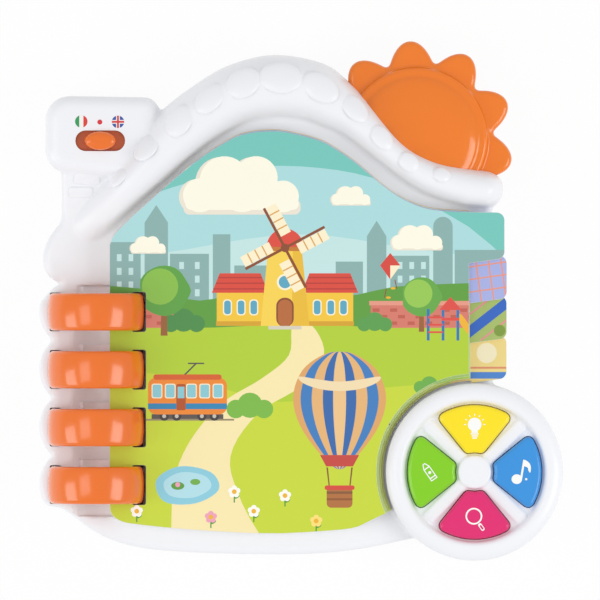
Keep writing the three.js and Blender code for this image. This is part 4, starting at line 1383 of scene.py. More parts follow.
@dataclass
class Rings:
    """Four orange half hoops; sizes in millimetres."""

    inner: float = 19.9
    outer: float = 24.9
    width: float = 19.1
    leg_inset: float = 1.3
    leg_width: float = 15.0
    foot_z: float = 12.0
    shoulder_z: float = 22.3
    round_edge: float = 2.0
    crown: float = 1.0

    def section(self) -> Outline:
        """Radial section: flat inside, crowned outside.

        Returns:
            The outline's points.
        """
        edge = pill((self.inner + self.outer) / 2, 0, self.outer - self.inner, self.width, self.round_edge, 8)
        half = self.width / 2 - self.round_edge
        points = edge + [(self.outer, half * (i / 5 - 1)) for i in range(1, 10)]
        return [(u - self.crown * (v / (self.width / 2)) ** 2 * (u - self.inner) / (self.outer - self.inner),
                 v)
                for u, v in points]

    def build(self, house: House) -> None:
        """A spun rounded section with two legs, once for each ring.

        Args:
            house: The housing that it fits.
        """
        for i, y in enumerate(house.ring_centres()):
            section = self.section()
            bm = bmesh.new()
            verts = [bm.verts.new((house.hinge_x + u, y + v, house.hinge_z)) for u, v in section]
            face = bm.faces.new(verts)
            start = bmesh.ops.extrude_face_region(bm, geom=[face])["geom"]
            legs = only_verts(start)
            bmesh.ops.translate(bm, verts=legs, vec=(0, 0, self.shoulder_z - house.hinge_z))
            bmesh.ops.delete(bm, geom=[face], context="FACES_ONLY")
            rim = [e for e in bm.edges if all(abs(v.co.z - house.hinge_z) < 1e-5 for v in e.verts)]
            bmesh.ops.spin(bm, geom=rim, cent=(house.hinge_x, y, house.hinge_z), axis=(0, -1, 0),
                           angle=math.pi,
                           steps=56)
            far = [e for e in bm.edges if e.is_boundary and all(v.co.x < house.hinge_x for v in e.verts)]
            drop = bmesh.ops.extrude_edge_only(bm, edges=far)["geom"]
            bmesh.ops.translate(bm, verts=only_verts(drop), vec=(0, 0, self.shoulder_z - house.hinge_z))
            bmesh.ops.holes_fill(bm, edges=[e for e in bm.edges if e.is_boundary], sides=0)
            bmesh.ops.remove_doubles(bm, verts=bm.verts[:], dist=1e-4)
            bmesh.ops.recalc_face_normals(bm, faces=bm.faces[:])
            feet = []
            for side in (-1, 1):
                middle = house.hinge_x + side * (self.inner + self.outer - self.leg_inset) / 2
                leg = pill(middle, y, self.outer - self.leg_inset - self.inner, self.leg_width, 0.5, 2)
                feet.append(prism(leg, self.foot_z, self.shoulder_z + 1))
            ring = to_object(bm, f"hoop_{i + 1}")
            joined(ring, merged(feet))
            finish(ring, ORANGE, HOUSING, (f"ring_{i + 1}",), sharp_degrees=50)


@dataclass
class Slider:
    """Orange language slider on the chimney; sizes in millimetres."""

    x: float = -102.8
    y: float = 82.0
    slot_length: float = 25.5
    slot_width: float = 10.6
    knob_length: float = 16.2
    knob_width: float = 9.7

    def build(self, house: House) -> None:
        """Plate, stem and rounded knob, and the three marks above the slot.

        Args:
            house: The housing that it fits.
        """
        low, high = (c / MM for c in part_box("language_slider"))
        top = house.chimney_z
        plate_top = top - 2.7
        knob = disc(self.x, self.y, self.knob_length / 2, 48, self.knob_width / self.knob_length)
        stem = pill(self.x, self.y, self.knob_length - 2.4, self.knob_width - 1.4, 3.8)
        piece = to_object(merged([prism(stem, plate_top - 0.5, top + 1),
                                  prism(knob, top + 0.3, high.z, 3.0, 0.4, 8)]),
                          "slider_knob")
        fused(piece, 0.4, 4)
        finish(piece, ORANGE, "slider", ("language_slider",), sharp_degrees=45)
        # The plate takes the darker orange, which paints the recess's shade onto it.
        plate = [prism(pill(self.x, self.y, high.x - low.x - 1.6, self.slot_width + 1.4, 4), plate_top - 1.4,
                       plate_top, 0.3)]
        for side in (-1, 1):
            plate.append(prism(rectangle(self.x + side * 3.1, self.y, 1.4, 5), plate_top - 3.6,
                               plate_top - 1))
        finish(to_object(merged(plate), "slider_plate"), ORANGE_PAINTED_SHADE, "slider")
        self.marks(top)

    def marks(self, top: float) -> None:
        """Two striped discs and a dot, printed above the slot.

        Args:
            top: Level of the chimney's face.
        """
        left, middle, right = (-112.5, 91.9), (-103.0, 91.6), (-93.7, 91.7)
        radius = 3.2
        layers: list[Layer] = [(rectangle(-103, 91.8, 34, 12), HOLE)]
        layers.append((disc(*left, radius, 32), "2E9B57"))
        layers.append((clipped_disc(*left, radius, -1.05, 3.3), "F5F4F0"))
        layers.append((clipped_disc(*left, radius, 1.05, 3.3), "DE3B34"))
        layers.append((disc(*middle, 1.3, 24), "D8323A"))
        layers.append((disc(*right, radius, 32), "2F56A6"))
        layers.append((clipped_disc(*right, radius, -0.95, 0.95), "F5F4F0"))
        layers.append((turned(clipped_disc(*right, radius, -0.95, 0.95), 90, *right), "F5F4F0"))
        layers.append((clipped_disc(*right, radius, -0.5, 0.5), "D8323A"))
        layers.append((turned(clipped_disc(*right, radius, -0.5, 0.5), 90, *right), "D8323A"))
        marks = to_object(sheet_mesh(layers, top - 0.15, top + 0.06), "slider_marks")
        finish(marks, PRINT, HOUSING)


def clipped_disc(x: float, y: float, radius: float, low: float, high: float) -> Outline:
    """Part of a disc between two upright lines, given from its centre.

    Args:
        x: Middle across the page.
        y: Middle up the page.
        radius: Radius.
        low: Left limit from the middle.
        high: Right limit from the middle.

    Returns:
        The outline's points.
    """
    low, high = max(low, -radius), min(high, radius)
    upper = [low + (high - low) * i / 12 for i in range(13)]
    rise = [math.sqrt(max(radius ** 2 - u ** 2, 0.0004)) for u in upper]
    return [(x + u, y - r) for u, r in zip(upper, rise)] + [(x + u, y + r) for u,
                                                            r in zip(upper[::-1], rise[::-1])]


# Motifs of the artwork, each a list of layers about its own foot

def moved(layers: list[Layer], x: float, y: float, size: float = 1.0) -> list[Layer]:
    """The layers scaled and placed."""
    return [([(x + px * size, y + py * size) for px, py in outline], code) for outline, code in layers]


def cloud(x: float, y: float, width: float, code: str = "FFFCE8") -> list[Layer]:
    """Cloud of overlapping puffs on a flat foot.

    Args:
        x: Middle across the page.
        y: Middle up the page.
        width: Size across the page.
        code: Hex colour.

    Returns:
        Coloured outlines, the last on top.
    """
    puffs = [(-0.36, 0.0, 0.15), (-0.15, 0.12, 0.22), (0.12, 0.15, 0.19), (0.35, -0.01, 0.14),
             (0.0, 0.05, 0.2)]
    shade = [(disc(x + (px - 0.03) * width, y + (py - 0.012) * width, r * width, 30), "EFE7D6") for px, py,
             r in puffs]
    layers = [(disc(x + px * width, y + py * width, r * width * 0.97, 30), code) for px, py, r in puffs]
    foot = [(pill(x, y - 0.1 * width, width, width * 0.13, width * 0.05), "EFE7D6"),
            (pill(x, y - 0.075 * width, width * 0.97, width * 0.1, width * 0.05), code)]
    return shade + foot + layers + [(pill(x, y + 0.03 * width, width * 0.7, width * 0.2, width * 0.08), code)]


def skyline(y: float, code: str, heights: list[tuple[float, float, float]]) -> list[Layer]:
    """Row of plain blocks: left edge, width and height of each."""
    return [([(x, y), (x + w, y), (x + w, y + h), (x, y + h)], code) for x, w, h in heights]


def panes(code: str, columns: list[float], rows: list[float], width: float, height: float) -> list[Layer]:
    """Window panes at a grid of places."""
    return [(rectangle(x, y, width, height), code) for x in columns for y in rows]


def windmill() -> list[Layer]:
    """Yellow mill with a red cap, four sails and two low wings.

    Returns:
        Coloured outlines, the last on top.
    """
    layers: list[Layer] = []
    for side in (-1, 1):
        layers.append((rectangle(side * 23, 9, 24, 18), "F6C93A"))
        layers.append((rectangle(side * 23, 1.2, 24.6, 2.4), "D9A52B"))
        layers.append(([(side * 23 - 14.5, 17), (side * 23 + 14.5, 17), (side * 23 + 10.5, 27),
                        (side * 23 - 10.5, 27)],
                       "DD4A3A"))
        for row in range(3):
            layers.append((rectangle(side * 23, 19 + row * 2.9, 27.5 - row * 2.6, 0.7), "B93A32"))
        for px in (-6.5, 0.5, 7.0):
            layers.append((pill(side * 23 + px, 9.5, 4.6, 8.2, 1.8), "FFF6D8"))
            layers.append((pill(side * 23 + px, 9.5, 3.4, 7.0, 1.4), "5CA9C4"))
    layers.append(([(-12.5, 0), (12.5, 0), (8.6, 40), (-8.6, 40)], "FAD652"))
    layers.append(([(3.5, 0), (12.5, 0), (8.6, 40), (4.0, 40)], "EDBE36"))
    layers.append((rectangle(0, 39.5, 19.5, 2.2), "C7792B"))
    layers.append((arc(0, 40.5, 9.4, 0, 180, 20), "E04B3B"))
    layers.append((pill(0, 7.0, 9.0, 15.0, 4.3), "8D4B2A"))
    layers.append((pill(0, 6.6, 7.2, 13.8, 3.4), "B96A36"))
    layers.append((rectangle(0, -0.9, 17, 1.8), "D9D2C0"))
    layers.append((disc(0, 22.5, 4.2, 24), "FFF6D8"))
    layers.append((disc(0, 22.5, 3.2, 24), "5CA9C4"))
    for turn in (28, 118, 208, 298):
        layers.append((turned([(-0.7, 40), (0.7, 40), (0.7, 63), (-0.7, 63)], turn, 0, 40), "8D4B2A"))
        layers.append((turned([(0.9, 46), (6.6, 46), (6.6, 62.5), (0.9, 62.5)], turn, 0, 40), "FFF3D0"))
        for bar in (50, 54.2, 58.4):
            layers.append((turned(rectangle(3.7, bar, 5.6, 0.7), turn, 0, 40), "E0A85A"))
    layers.append((disc(0, 40, 2.2, 20), "8D4B2A"))
    return layers


def balloon() -> list[Layer]:
    """Striped hot-air balloon with its basket.

    Returns:
        Coloured outlines, the last on top.
    """
    body = blob([(0, -27), (9, -20), (19, -6), (22.5, 8), (18, 21), (8, 28.5), (0, 30), (-8, 28.5), (-18, 21),
                 (-22.5, 8), (-19, -6), (-9, -20)], 5)
    layers: list[Layer] = [(body, "E2A867")]
    for share, code in ((0.84, "3F7FC0"), (0.60, "E8B678"), (0.36, "3569AE"), (0.14, "F0C68C")):
        layers.append(([(px * share, py) for px, py in body], code))
    layers.append(([(-9.5, -20), (9.5, -20), (6.5, -25.5), (-6.5, -25.5)], "C9483D"))
    layers.append((blob([(-18, 15), (-10, 12), (0, 11), (10, 12), (18, 15), (19.5, 18), (10, 16.5), (0, 15.5),
                         (-10, 16.5), (-19.5, 18)], 3), "F6E0B4"))
    for side in (-1, 1):
        layers.append(([(side * 5.6, -26), (side * 6.4, -26), (side * 5.2, -36), (side * 4.6, -36)][::side],
                       "8A5A34"))
    layers.append((pill(0, -40.5, 12.5, 10, 2.2), "B4713B"))
    layers.append((rectangle(0, -38.2, 12.5, 1.2), "8A5A34"))
    layers.append((rectangle(0, -41.4, 12.5, 1.0), "93592C"))
    layers.append((pill(0, -35.8, 14.5, 2.2, 1.0), "D94B3C"))
    return layers


def tram() -> list[Layer]:
    """Orange tram with a blue band on its rails.

    Returns:
        Coloured outlines, the last on top.
    """
    layers: list[Layer] = [(rectangle(0, -1.2, 52, 1.0), "9A8A6A"), (rectangle(0, 0.6, 40, 2.6), "5B5350")]
    for x in (-13, -6, 8, 15):
        layers.append((disc(x, 0.8, 2.6, 18), "3F3A3C"))
        layers.append((disc(x, 0.8, 1.1, 12), "C9C2B4"))
    layers.append((pill(0, 12, 44, 20.5, 4.5), "F08A2E"))
    layers.append((rectangle(0, 6.3, 44, 3.2), "2F87B8"))
    layers.append((pill(0, 22.6, 38, 3.0, 1.4), "D8602A"))
    for x in (-17, -9.6, 2.2, 9.6, 17):
        layers.append((pill(x, 14.8, 6.0, 8.2, 1.2), "FFF1CE"))
        layers.append((pill(x, 14.8, 4.9, 7.1, 0.9), "8CCBD6"))
    layers.append((pill(-3.6, 11.4, 5.2, 14.6, 1.0), "B5531F"))
    layers.append((rectangle(-3.6, 14, 3.8, 6.4), "8CCBD6"))
    layers.append(([(-2, 24), (-0.8, 24), (5.2, 30), (4.0, 30)], "5B5350"))
    layers.append((rectangle(4.8, 30.2, 9, 0.8), "5B5350"))
    return layers


def round_tree(height: float, code: str, dark: str) -> list[Layer]:
    """Tree with a round crown.

    Args:
        height: Size up the page.
        code: Hex colour.
        dark: Hex colour of the shaded side.

    Returns:
        Coloured outlines, the last on top.
    """
    crown = height * 0.36
    return [([(-height * 0.05, 0), (height * 0.05, 0), (height * 0.035, height * 0.5),
              (-height * 0.035, height * 0.5)],
             "9A6234"),
            (blob([(crown * math.cos(a) * (1 + 0.07 * math.cos(5 * a)), height * 0.64 + crown * math.sin(a))
                   for a in [2 * math.pi * i / 14 for i in range(14)]], 2), dark),
            (disc(-crown * 0.16, height * 0.7, crown * 0.72, 24), code)]


def bush(width: float, code: str) -> list[Layer]:
    """Low bush of three puffs."""
    return [(disc(-width * 0.3, width * 0.1, width * 0.2, 18), code),
            (disc(width * 0.3, width * 0.1, width * 0.2, 18), code),
            (disc(0, width * 0.18, width * 0.27, 20), code)]


def flower(petal: str, heart: str) -> list[Layer]:
    """Five-petalled flower on a short stalk.

    Args:
        petal: Hex colour of the petals.
        heart: Hex colour of the middle.

    Returns:
        Coloured outlines, the last on top.
    """
    layers: list[Layer] = [(rectangle(0, -3.4, 0.7, 5.0), "4E9A3B"), (turned(disc(1.6, -3.6, 1.6, 12, 0.45),
        30, 0, -3.6), "4E9A3B")]
    for i in range(5):
        layers.append((disc(1.9 * math.cos(1.2566 * i + 0.3), 1.9 * math.sin(1.2566 * i + 0.3), 1.5, 14),
                       petal))
    return layers + [(disc(0, 0, 1.3, 14), heart)]


def brick_wall(x: float, y: float, width: float, height: float) -> list[Layer]:
    """Low garden wall with a coping and scattered bricks.

    Args:
        x: Middle across the page.
        y: Middle up the page.
        width: Size across the page.
        height: Size up the page.

    Returns:
        Coloured outlines, the last on top.
    """
    layers: list[Layer] = [([(x, y), (x + width, y), (x + width, y + height), (x, y + height)], "D97C6C")]
    count = max(2, int(width / 9))
    for row in range(3):
        for i in range(count):
            px = x + (i + 0.3 + 0.45 * (row % 2)) * width / count
            if px + 2.2 < x + width:
                layers.append((rectangle(px, y + height * (0.2 + 0.28 * row), 3.6, height * 0.15), "C3604F"))
    return layers + [(rectangle(x + width / 2, y + height + 0.7, width + 1.6, 2.2), "E89C86")]


def play_arch() -> list[Layer]:
    """Climbing arch with a slide, in red, blue and yellow.

    Returns:
        Coloured outlines, the last on top.
    """
    layers: list[Layer] = [
        (blob([(8, 14), (11, 11), (16, 4), (22, 1), (24, 1), (24, -0.6), (20, -0.6), (14, 1.6), (8, 9)], 3),
         "F2B632"),
    ]
    for x in (-9, -1, 7):
        layers.append((rectangle(x, 8, 1.5, 17), "2F78B7"))
    for y in (4, 8, 12):
        layers.append((rectangle(-5, y, 8, 1.0), "E14E43"))
    layers.append((rectangle(3, 11, 9.5, 1.5), "E14E43"))
    layers.append(([(-3, 16), (9, 16), (3, 23)], "E14E43"))
    return layers


def shop() -> list[Layer]:
    """Market stall with a striped awning.

    Returns:
        Coloured outlines, the last on top.
    """
    layers: list[Layer] = [(rectangle(0, 12, 36, 24), "E7A25B"), (rectangle(0, 25.2, 39, 3.4), "B96A36"),
                           (rectangle(-8.5, 9, 14, 10), "6FBED0"), (pill(9, 7.8, 9.5, 15.6, 1.0), "8D4B2A"),
                           (rectangle(9, 9.6, 6.6, 9), "9AD4DC"), (rectangle(-8.5, 3.2, 15.5, 1.6), "C7792B")]
    for i in range(6):
        code = "F4EBD6" if i % 2 else "D9553F"
        x = -18 + i * 6
        layers.append(([(x, 17), (x + 3, 15.4), (x + 6, 17), (x + 6, 22.5), (x, 22.5)], code))
    return layers


def train_engine() -> list[Layer]:
    """Small round-nosed engine.

    Returns:
        Coloured outlines, the last on top.
    """
    return [(rectangle(0, 3.4, 44, 3), "5B5350"), (pill(-4, 10.5, 34, 12, 4), "D9473B"),
            (pill(13, 14, 15, 19, 2.5), "2F78B7"), (rectangle(13, 17, 8.5, 7.5), "FFF1CE"),
            (rectangle(-14, 20, 4.6, 9), "3F3A3C"), (rectangle(-14, 25, 7, 2.6), "F2B632"),
            (disc(-12, 2.6, 4.2, 22), "3F3A3C"), (disc(0, 2.6, 4.2, 22), "3F3A3C"),
            (disc(13, 2.6, 4.8, 22), "3F3A3C"),
            (disc(-12, 2.6, 1.8, 14), "F2B632"), (disc(0, 2.6, 1.8, 14), "F2B632"),
            (disc(13, 2.6, 2.0, 14), "F2B632")]


def boat() -> list[Layer]:
    """Sailing boat.

    Returns:
        Coloured outlines, the last on top.
    """
    return [([(-17, 7), (17, 7), (12, 0), (-12, 0)][::-1], "D9473B"), (rectangle(0, 6.2, 33, 1.4), "FFF1CE"),
            (rectangle(0, 21, 1.4, 28), "8D4B2A"), ([(1.6, 10), (15, 10), (1.6, 34)], "FFF6D8"),
            ([(-13, 10), (-1.6, 10), (-1.6, 30)], "F2B632"), ([(-9, 15), (-1.6, 15), (-1.6, 19), (-7.2, 19)],
                                                              "2F78B7")]


def kite(code: str) -> list[Layer]:
    """Kite with its tail.

    Args:
        code: Hex colour.

    Returns:
        Coloured outlines, the last on top.
    """
    return [([(0, -9), (6.5, 0), (0, 8), (-6.5, 0)], code), ([(0, -9), (6.5, 0), (0, 0)], "FFF1CE"),
            (turned(rectangle(1.0, -12.5, 0.6, 6), 12), "8D4B2A"), (turned(rectangle(0.6, -18, 0.6, 6), -12),
                                                                    "8D4B2A"),
            (disc(1.8, -14.6, 1.6, 12, 0.5), "F2B632"), (disc(-1.2, -20.6, 1.6, 12, 0.5), "F2B632")]


@dataclass(frozen=True)
class Palette:
    """Colours of one picture."""

    high_sky: str
    sky: str
    pale_sky: str
    far: str
    hedge: str
    lawn: str
    meadow: str
    path: str


DAY = Palette("76C9BE", "AEDEE0", "C6E8E6", "8CB3AF", "5FA03C", "B4D233", "CADB38", "FBEBB2")
SUNNY = Palette("8FD0E6", "A8DCEB", "D6EFEF", "A8C4B8", "6BA85A", "B4D95A", "D3E574", "F1DFB0")
EVENING = Palette("8E9BD6", "A9B2E2", "D9D3EE", "9A9CC4", "6E9E73", "A6CC73", "C5DD8A", "E9D5B8")
WARM = Palette("F6C76A", "F9D98C", "FDEBBF", "D8B488", "7CA552", "B8CF55", "D6DE72", "F3E0B2")


@dataclass
class Picture:
    """One printed face: a landscape with motifs; sizes in millimetres."""

    palette: Palette
    motifs: list[Layer]

    def layers(self, bounds: Outline) -> list[Layer]:
        """The picture's layers inside the face's outline.

        Args:
            bounds: Outline of the printed face.

        Returns:
            Coloured outlines, the last on top.
        """
        tone = self.palette
        layers: list[Layer] = [(bounds, tone.sky)]
        layers.append((blob([(-130, 110), (-130, 42), (-66, 58), (-30, 68), (10, 68), (45, 60), (86, 38),
                             (130, 10),
                             (130, 110)], 4), tone.high_sky))
        layers.append((blob([(-130, 12), (-60, 26), (0, 34), (60, 26), (130, 14), (130, -30), (-130, -30)],
                            4),
                       tone.pale_sky))
        layers += skyline(-10, tone.far, [(-98, 16, 40), (-80, 12, 50), (-67, 20, 34), (-45, 9, 44),
                                          (-34, 18, 28),
                                          (18, 14, 30), (34, 10, 43), (46, 20, 33), (68, 10, 48),
                                          (79, 30, 36)])
        layers += [([(-80, 40), (-68, 40), (-74, 49)], tone.far), ([(34, 33), (44, 33), (39, 41)], tone.far),
                   (disc(73, 38, 5, 20), tone.far)]
        layers += panes(tone.pale_sky, [-93, -87], [8, 15, 22], 2.4, 3.6)
        layers += panes(tone.pale_sky, [51, 57, 63], [4, 11, 18], 2.4, 3.6)
        layers += panes(tone.pale_sky, [-61, -53], [4, 11, 18], 2.4, 3.6)
        layers.append((blob([(-130, 2), (-80, 6), (-52, 0), (-20, 6), (20, 2), (60, 8), (130, 2), (130, -60),
                             (-130, -60)], 4), tone.hedge))
        layers.append((blob([(-130, -10), (-60, -14), (0, -12), (60, -14), (130, -8), (130, -140),
                             (-130, -140)], 4),
                       tone.lawn))
        layers.append((blob([(-130, -46), (-70, -38), (-10, -52), (50, -44), (130, -50), (130, -140),
                             (-130, -140)], 4),
                       tone.meadow))
        layers.append((blob([(-4, -13), (6, -13), (12, -28), (0, -44), (-22, -58), (-36, -80), (-30, -104),
                             (-14, -140),
                             (-60, -140), (-66, -104), (-60, -78), (-42, -54), (-20, -40), (-6, -28)], 5),
                             tone.path))
        return layers + self.motifs


def cover_motifs() -> list[Layer]:
    """Front of the book: mill, tram, balloon, clouds and garden.

    Returns:
        Coloured outlines, the last on top.
    """
    layers = cloud(-30, 54, 60) + cloud(60, 30, 26) + cloud(-78, 27, 18) + cloud(26, 52, 20)
    layers += brick_wall(-98, -14, 34, 12) + brick_wall(36, -14, 54, 12)
    layers += moved(bush(22, "4C8F4A"), -60, -14) + moved(bush(18, "5BA04E"), 38, -14)
    layers += moved(windmill(), -8, -13, 1.0)
    layers += moved(round_tree(36, "8CC24A", "5FA544"), -70, -18) + moved(round_tree(28, "98CB52", "67AB47"),
        62, -16)
    layers += moved(play_arch(), 74, -20, 0.95)
    layers += moved(tram(), -58, -60, 0.92)
    layers += moved(bush(24, "7DBB45"), -26, -58) + moved(bush(16, "6DB04A"), 66, -46)
    layers += moved(balloon(), 20, -58, 1.06)
    layers += [(blob([(-74, -92), (-62, -85), (-46, -88), (-42, -97), (-54, -104), (-70, -103)], 5),
                "8ECFE0"),
               (blob([(-70, -93), (-61, -88), (-49, -90), (-46, -96), (-55, -101), (-67, -100)], 5),
                "B5E2EC"),
               (disc(-63, -95, 3.4, 18, 0.6), "5FA03C"), (disc(-54, -93, 2.6, 18, 0.6), "72B04A"),
               (disc(-63, -94.4, 1.3, 12), "F2A5BE")]
    layers += moved(kite("D9473B"), 46, 18, 0.8) + moved(bush(14, "7DBB45"), 58, -72)
    for x, y, petal in ((-34, -98, "FFFDF4"), (-24, -108, "FFFDF4"), (-46, -111, "F2A5BE"),
                        (-8, -100, "FFFDF4"),
                        (44, -100, "F2A5BE"), (-84, -108, "FFFDF4"), (8, -113, "FFE27A")):
        layers += moved(flower(petal, "F2B632"), x, y, 0.95)
    return layers


def face_motifs(leaf: int, side: Face) -> list[Layer]:
    """Motifs of an inner face.

    Args:
        leaf: Number of the leaf, 1 the front one.
        side: Printed side.

    Returns:
        Coloured outlines, the last on top.
    """
    main = {
        (1, Face.BACK): moved(train_engine(), -6, -52, 1.5) + moved(shop(), 44, -14, 1.0),
        (2, Face.FRONT): moved(shop(), -48, -14, 1.3) + moved(tram(), 16, -62, 1.15),
        (2, Face.BACK): moved(boat(), -10, -70, 1.5) + moved(round_tree(40, "8CC24A", "5FA544"), 52, -20),
        (3, Face.FRONT): moved(round_tree(48, "8CC24A", "5FA544"), -50, -30) + moved(balloon(), 24, -40, 1.0),
        (3, Face.BACK): moved(windmill(), -30, -18, 0.95) + moved(kite("D9473B"), 48, 20, 1.3),
        (4, Face.FRONT): moved(train_engine(), -24, -66, 1.6) + moved(windmill(), 34, -16, 0.7),
        (4, Face.BACK): moved(boat(), 16, -66, 1.7) + moved(shop(), -52, -14, 1.0),
    }[leaf, side]
    layers = cloud(-44, 56, 44) + cloud(30, 48, 34)
    layers += moved(bush(22, "5BA04E"), -84, -16) + moved(bush(20, "5BA04E"), 10, -16) + main
    for x, y in ((-60, -96), (-20, -104), (26, -98), (-84, -70)):
        layers += moved(flower("FFFDF4", "F2B632"), x, y, 1.1)
    return layers


def tab_pattern(leaf: int, right: float, top: float) -> list[Layer]:
    """Print of the part of a leaf that shows beside the leaves above it.

    Args:
        leaf: Number of the leaf, 1 the front one.
        right: Right edge of the leaf's body.
        top: Upper end of its tab.

    Returns:
        Coloured outlines, the last on top.
    """
    if leaf == 2:
        field_code = "A9B3E6"
        layers: list[Layer] = [(rectangle(right + 6, top - 8, 34, 42), field_code)]
        for i in range(4):
            layers.append((turned(rectangle(right + 8, top - 24 + i * 6.4, 40, 0.8), 8, right + 8, top - 12),
                           "E79A8A"))
        for i in range(4):
            layers.append((turned(rectangle(right - 2 + i * 6.4, top - 10, 0.8, 44), 8, right + 8, top - 12),
                           "E79A8A"))
        return layers
    if leaf == 3:
        return [(rectangle(right + 6, top - 12, 34, 26), "A9BE6A"),
                (turned(rectangle(right + 8, top - 12, 44, 5.2), 38, right + 8, top - 12), "2F66C4"),
                (turned(rectangle(right + 14, top - 19, 30, 0.9), 38, right + 8, top - 12), "E58F93"),
                (turned(rectangle(right + 3, top - 5, 30, 0.9), 38, right + 8, top - 12), "E58F93"),
                (disc(right + 15, top - 18, 3.0, 20), "7E9C3C")]
    if leaf == 4:
        return [(rectangle(right + 6, top - 12, 34, 26), "F0D98A"), (rectangle(right + 6, top - 20.5, 34,
            3.4), "4A86D0"),
                (disc(right + 8, top - 9, 5.2, 24), "F6ECC6"), (rectangle(right + 6, top - 16.6, 34, 1.0),
                                                                "E08F6A")]
    return []


@dataclass
class Leaves:
    """Four thick leaves with printed films; sizes in millimetres."""

    count: int = 4
    left: float = -97.9
    right: float = 86.4
    step: float = 0.4
    tab_reach: float = 104.6
    tab_height: float = 22.5
    tab_top: float = 43.6
    pod_gap: float = 4.6
    film: float = 0.12
    edge_round: float = 0.4
    pod_step: float = 1.2
    slot_reach: float = 22.0
    slot_size: tuple[float, float] = (7.2, 20.5)
    crown: list = field(default_factory=lambda: [
        (86.4, 45.2), (68.8, 46.4), (59, 49), (49.2, 53.9), (39.3, 61.3), (29.5, 69.6), (19.7, 76.5),
        (9.8, 81.9),
        (-6.7, 86.2), (-16.5, 86.8), (-26.4, 85.8), (-36.2, 82.4), (-55.9, 69.6), (-81.4, 47.5),
        (-91.3, 38.1),
        (-96.1, 32.9), (-97.9, 28.5)])
    foot: list = field(default_factory=lambda: [
        (-97.9, -104.2), (-97.1, -109.2), (-93.2, -112.6), (-85.4, -114.6), (-55.9, -117.5), (-16.5, -119.5),
        (14.8, -118), (27.6, -116.5), (33.5, -114)])

    def outline(self, leaf: int, pod: PlayPod) -> Outline:
        """Outline of a leaf, 1 the front one, 4 the rear one.

        Args:
            leaf: Number of the leaf, 1 the front one.
            pod: The play pod that it fits.

        Returns:
            The outline's points.
        """
        extra = (leaf - 1) * self.step
        right, reach = self.right + extra, self.tab_reach + (1.2 if leaf > 1 else 0)
        top = self.tab_top + extra - (leaf - 1) * (self.tab_height - 1.6)
        bottom = top - self.tab_height
        around = pod.radius + self.pod_gap - (leaf - 1) * self.pod_step
        start = math.degrees(math.acos((right - pod.x) / around))
        crown = [(max(x, self.left), y + extra) for x, y in catmull(self.crown, 44)]
        tab = [(right, bottom - 2), *arc(reach - 4, bottom + 4, 4, 270, 360, 8),
               *arc(reach - 4, top - 4 + (1.6 if leaf == 1 else 0), 4, 0, 90, 8)]
        head = [] if leaf == 1 else [(right, top + 2)]
        return [*[(max(x, self.left), y) for x, y in catmull(self.foot, 20)],
                *arc(pod.x, pod.y, around, 205, start, 28),
                *tab, *head, *(crown[1:] if leaf == 1 else crown)]

    def build(self, house: House, pod: PlayPod) -> None:
        """Boards with their slots, and a film on each face.

        Args:
            house: The housing that it fits.
            pod: The play pod that it fits.
        """
        for leaf in range(1, self.count + 1):
            node = f"leaf_{leaf}"
            low, high = (c.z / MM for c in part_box(node))
            outline = self.outline(leaf, pod)
            board = to_object(prism(outline, low, high, self.edge_round, self.edge_round, 3), f"board_{leaf}")
            slots = [pill(house.hinge_x + self.slot_reach, y, *self.slot_size, 1.2, 4)
                     for y in house.ring_centres()]
            cut(board, merged([prism(slot, low - 2, high + 2) for slot in slots]))
            finish(board, LEAF_EDGE, node, (node,), sharp_degrees=45)
            film_edge = grown(outline, -self.film)
            holes = [(grown(slot, 0.05), HOLE) for slot in slots]
            for side in Face:
                picture = self._picture(leaf, side)
                layers = picture.layers(film_edge)
                if side is Face.FRONT:
                    layers += tab_pattern(leaf, self.right + (leaf - 1) * self.step,
                                          self.tab_top + (leaf - 1) * (self.step - self.tab_height + 1.6))
                layers += holes
                if side is Face.FRONT:
                    sheet = sheet_mesh(layers, high - 0.04, high + self.film)
                else:
                    sheet = sheet_mesh(layers, low - self.film, low + 0.04, face_down=True)
                finish(to_object(sheet, f"print_{leaf}_{side.value}"), PRINT, node)

    @staticmethod
    def _picture(leaf: int, side: Face) -> Picture:
        """The picture of one face.

        Args:
            leaf: Number of the leaf, 1 the front one.
            side: Printed side.

        Returns:
            The picture.
        """
        if (leaf, side) == (1, Face.FRONT):
            return Picture(DAY, cover_motifs())
        palette = (SUNNY, WARM, EVENING)[(leaf + (side is Face.BACK)) % 3]
        return Picture(palette, face_motifs(leaf, side))


# Held pieces, camera and light

def dress_nodes() -> None:
    """Gives every node that still shows its finish, by its slot in the record."""
    looks = {part["node"]: SLOT_FINISH[part["material_slot"]] for part in frame["record"]["subparts"]}
    for name, node in frame["nodes"].items():
        look = looks[name]
        node.data.materials.clear()
        node.data.materials.append(look.material())


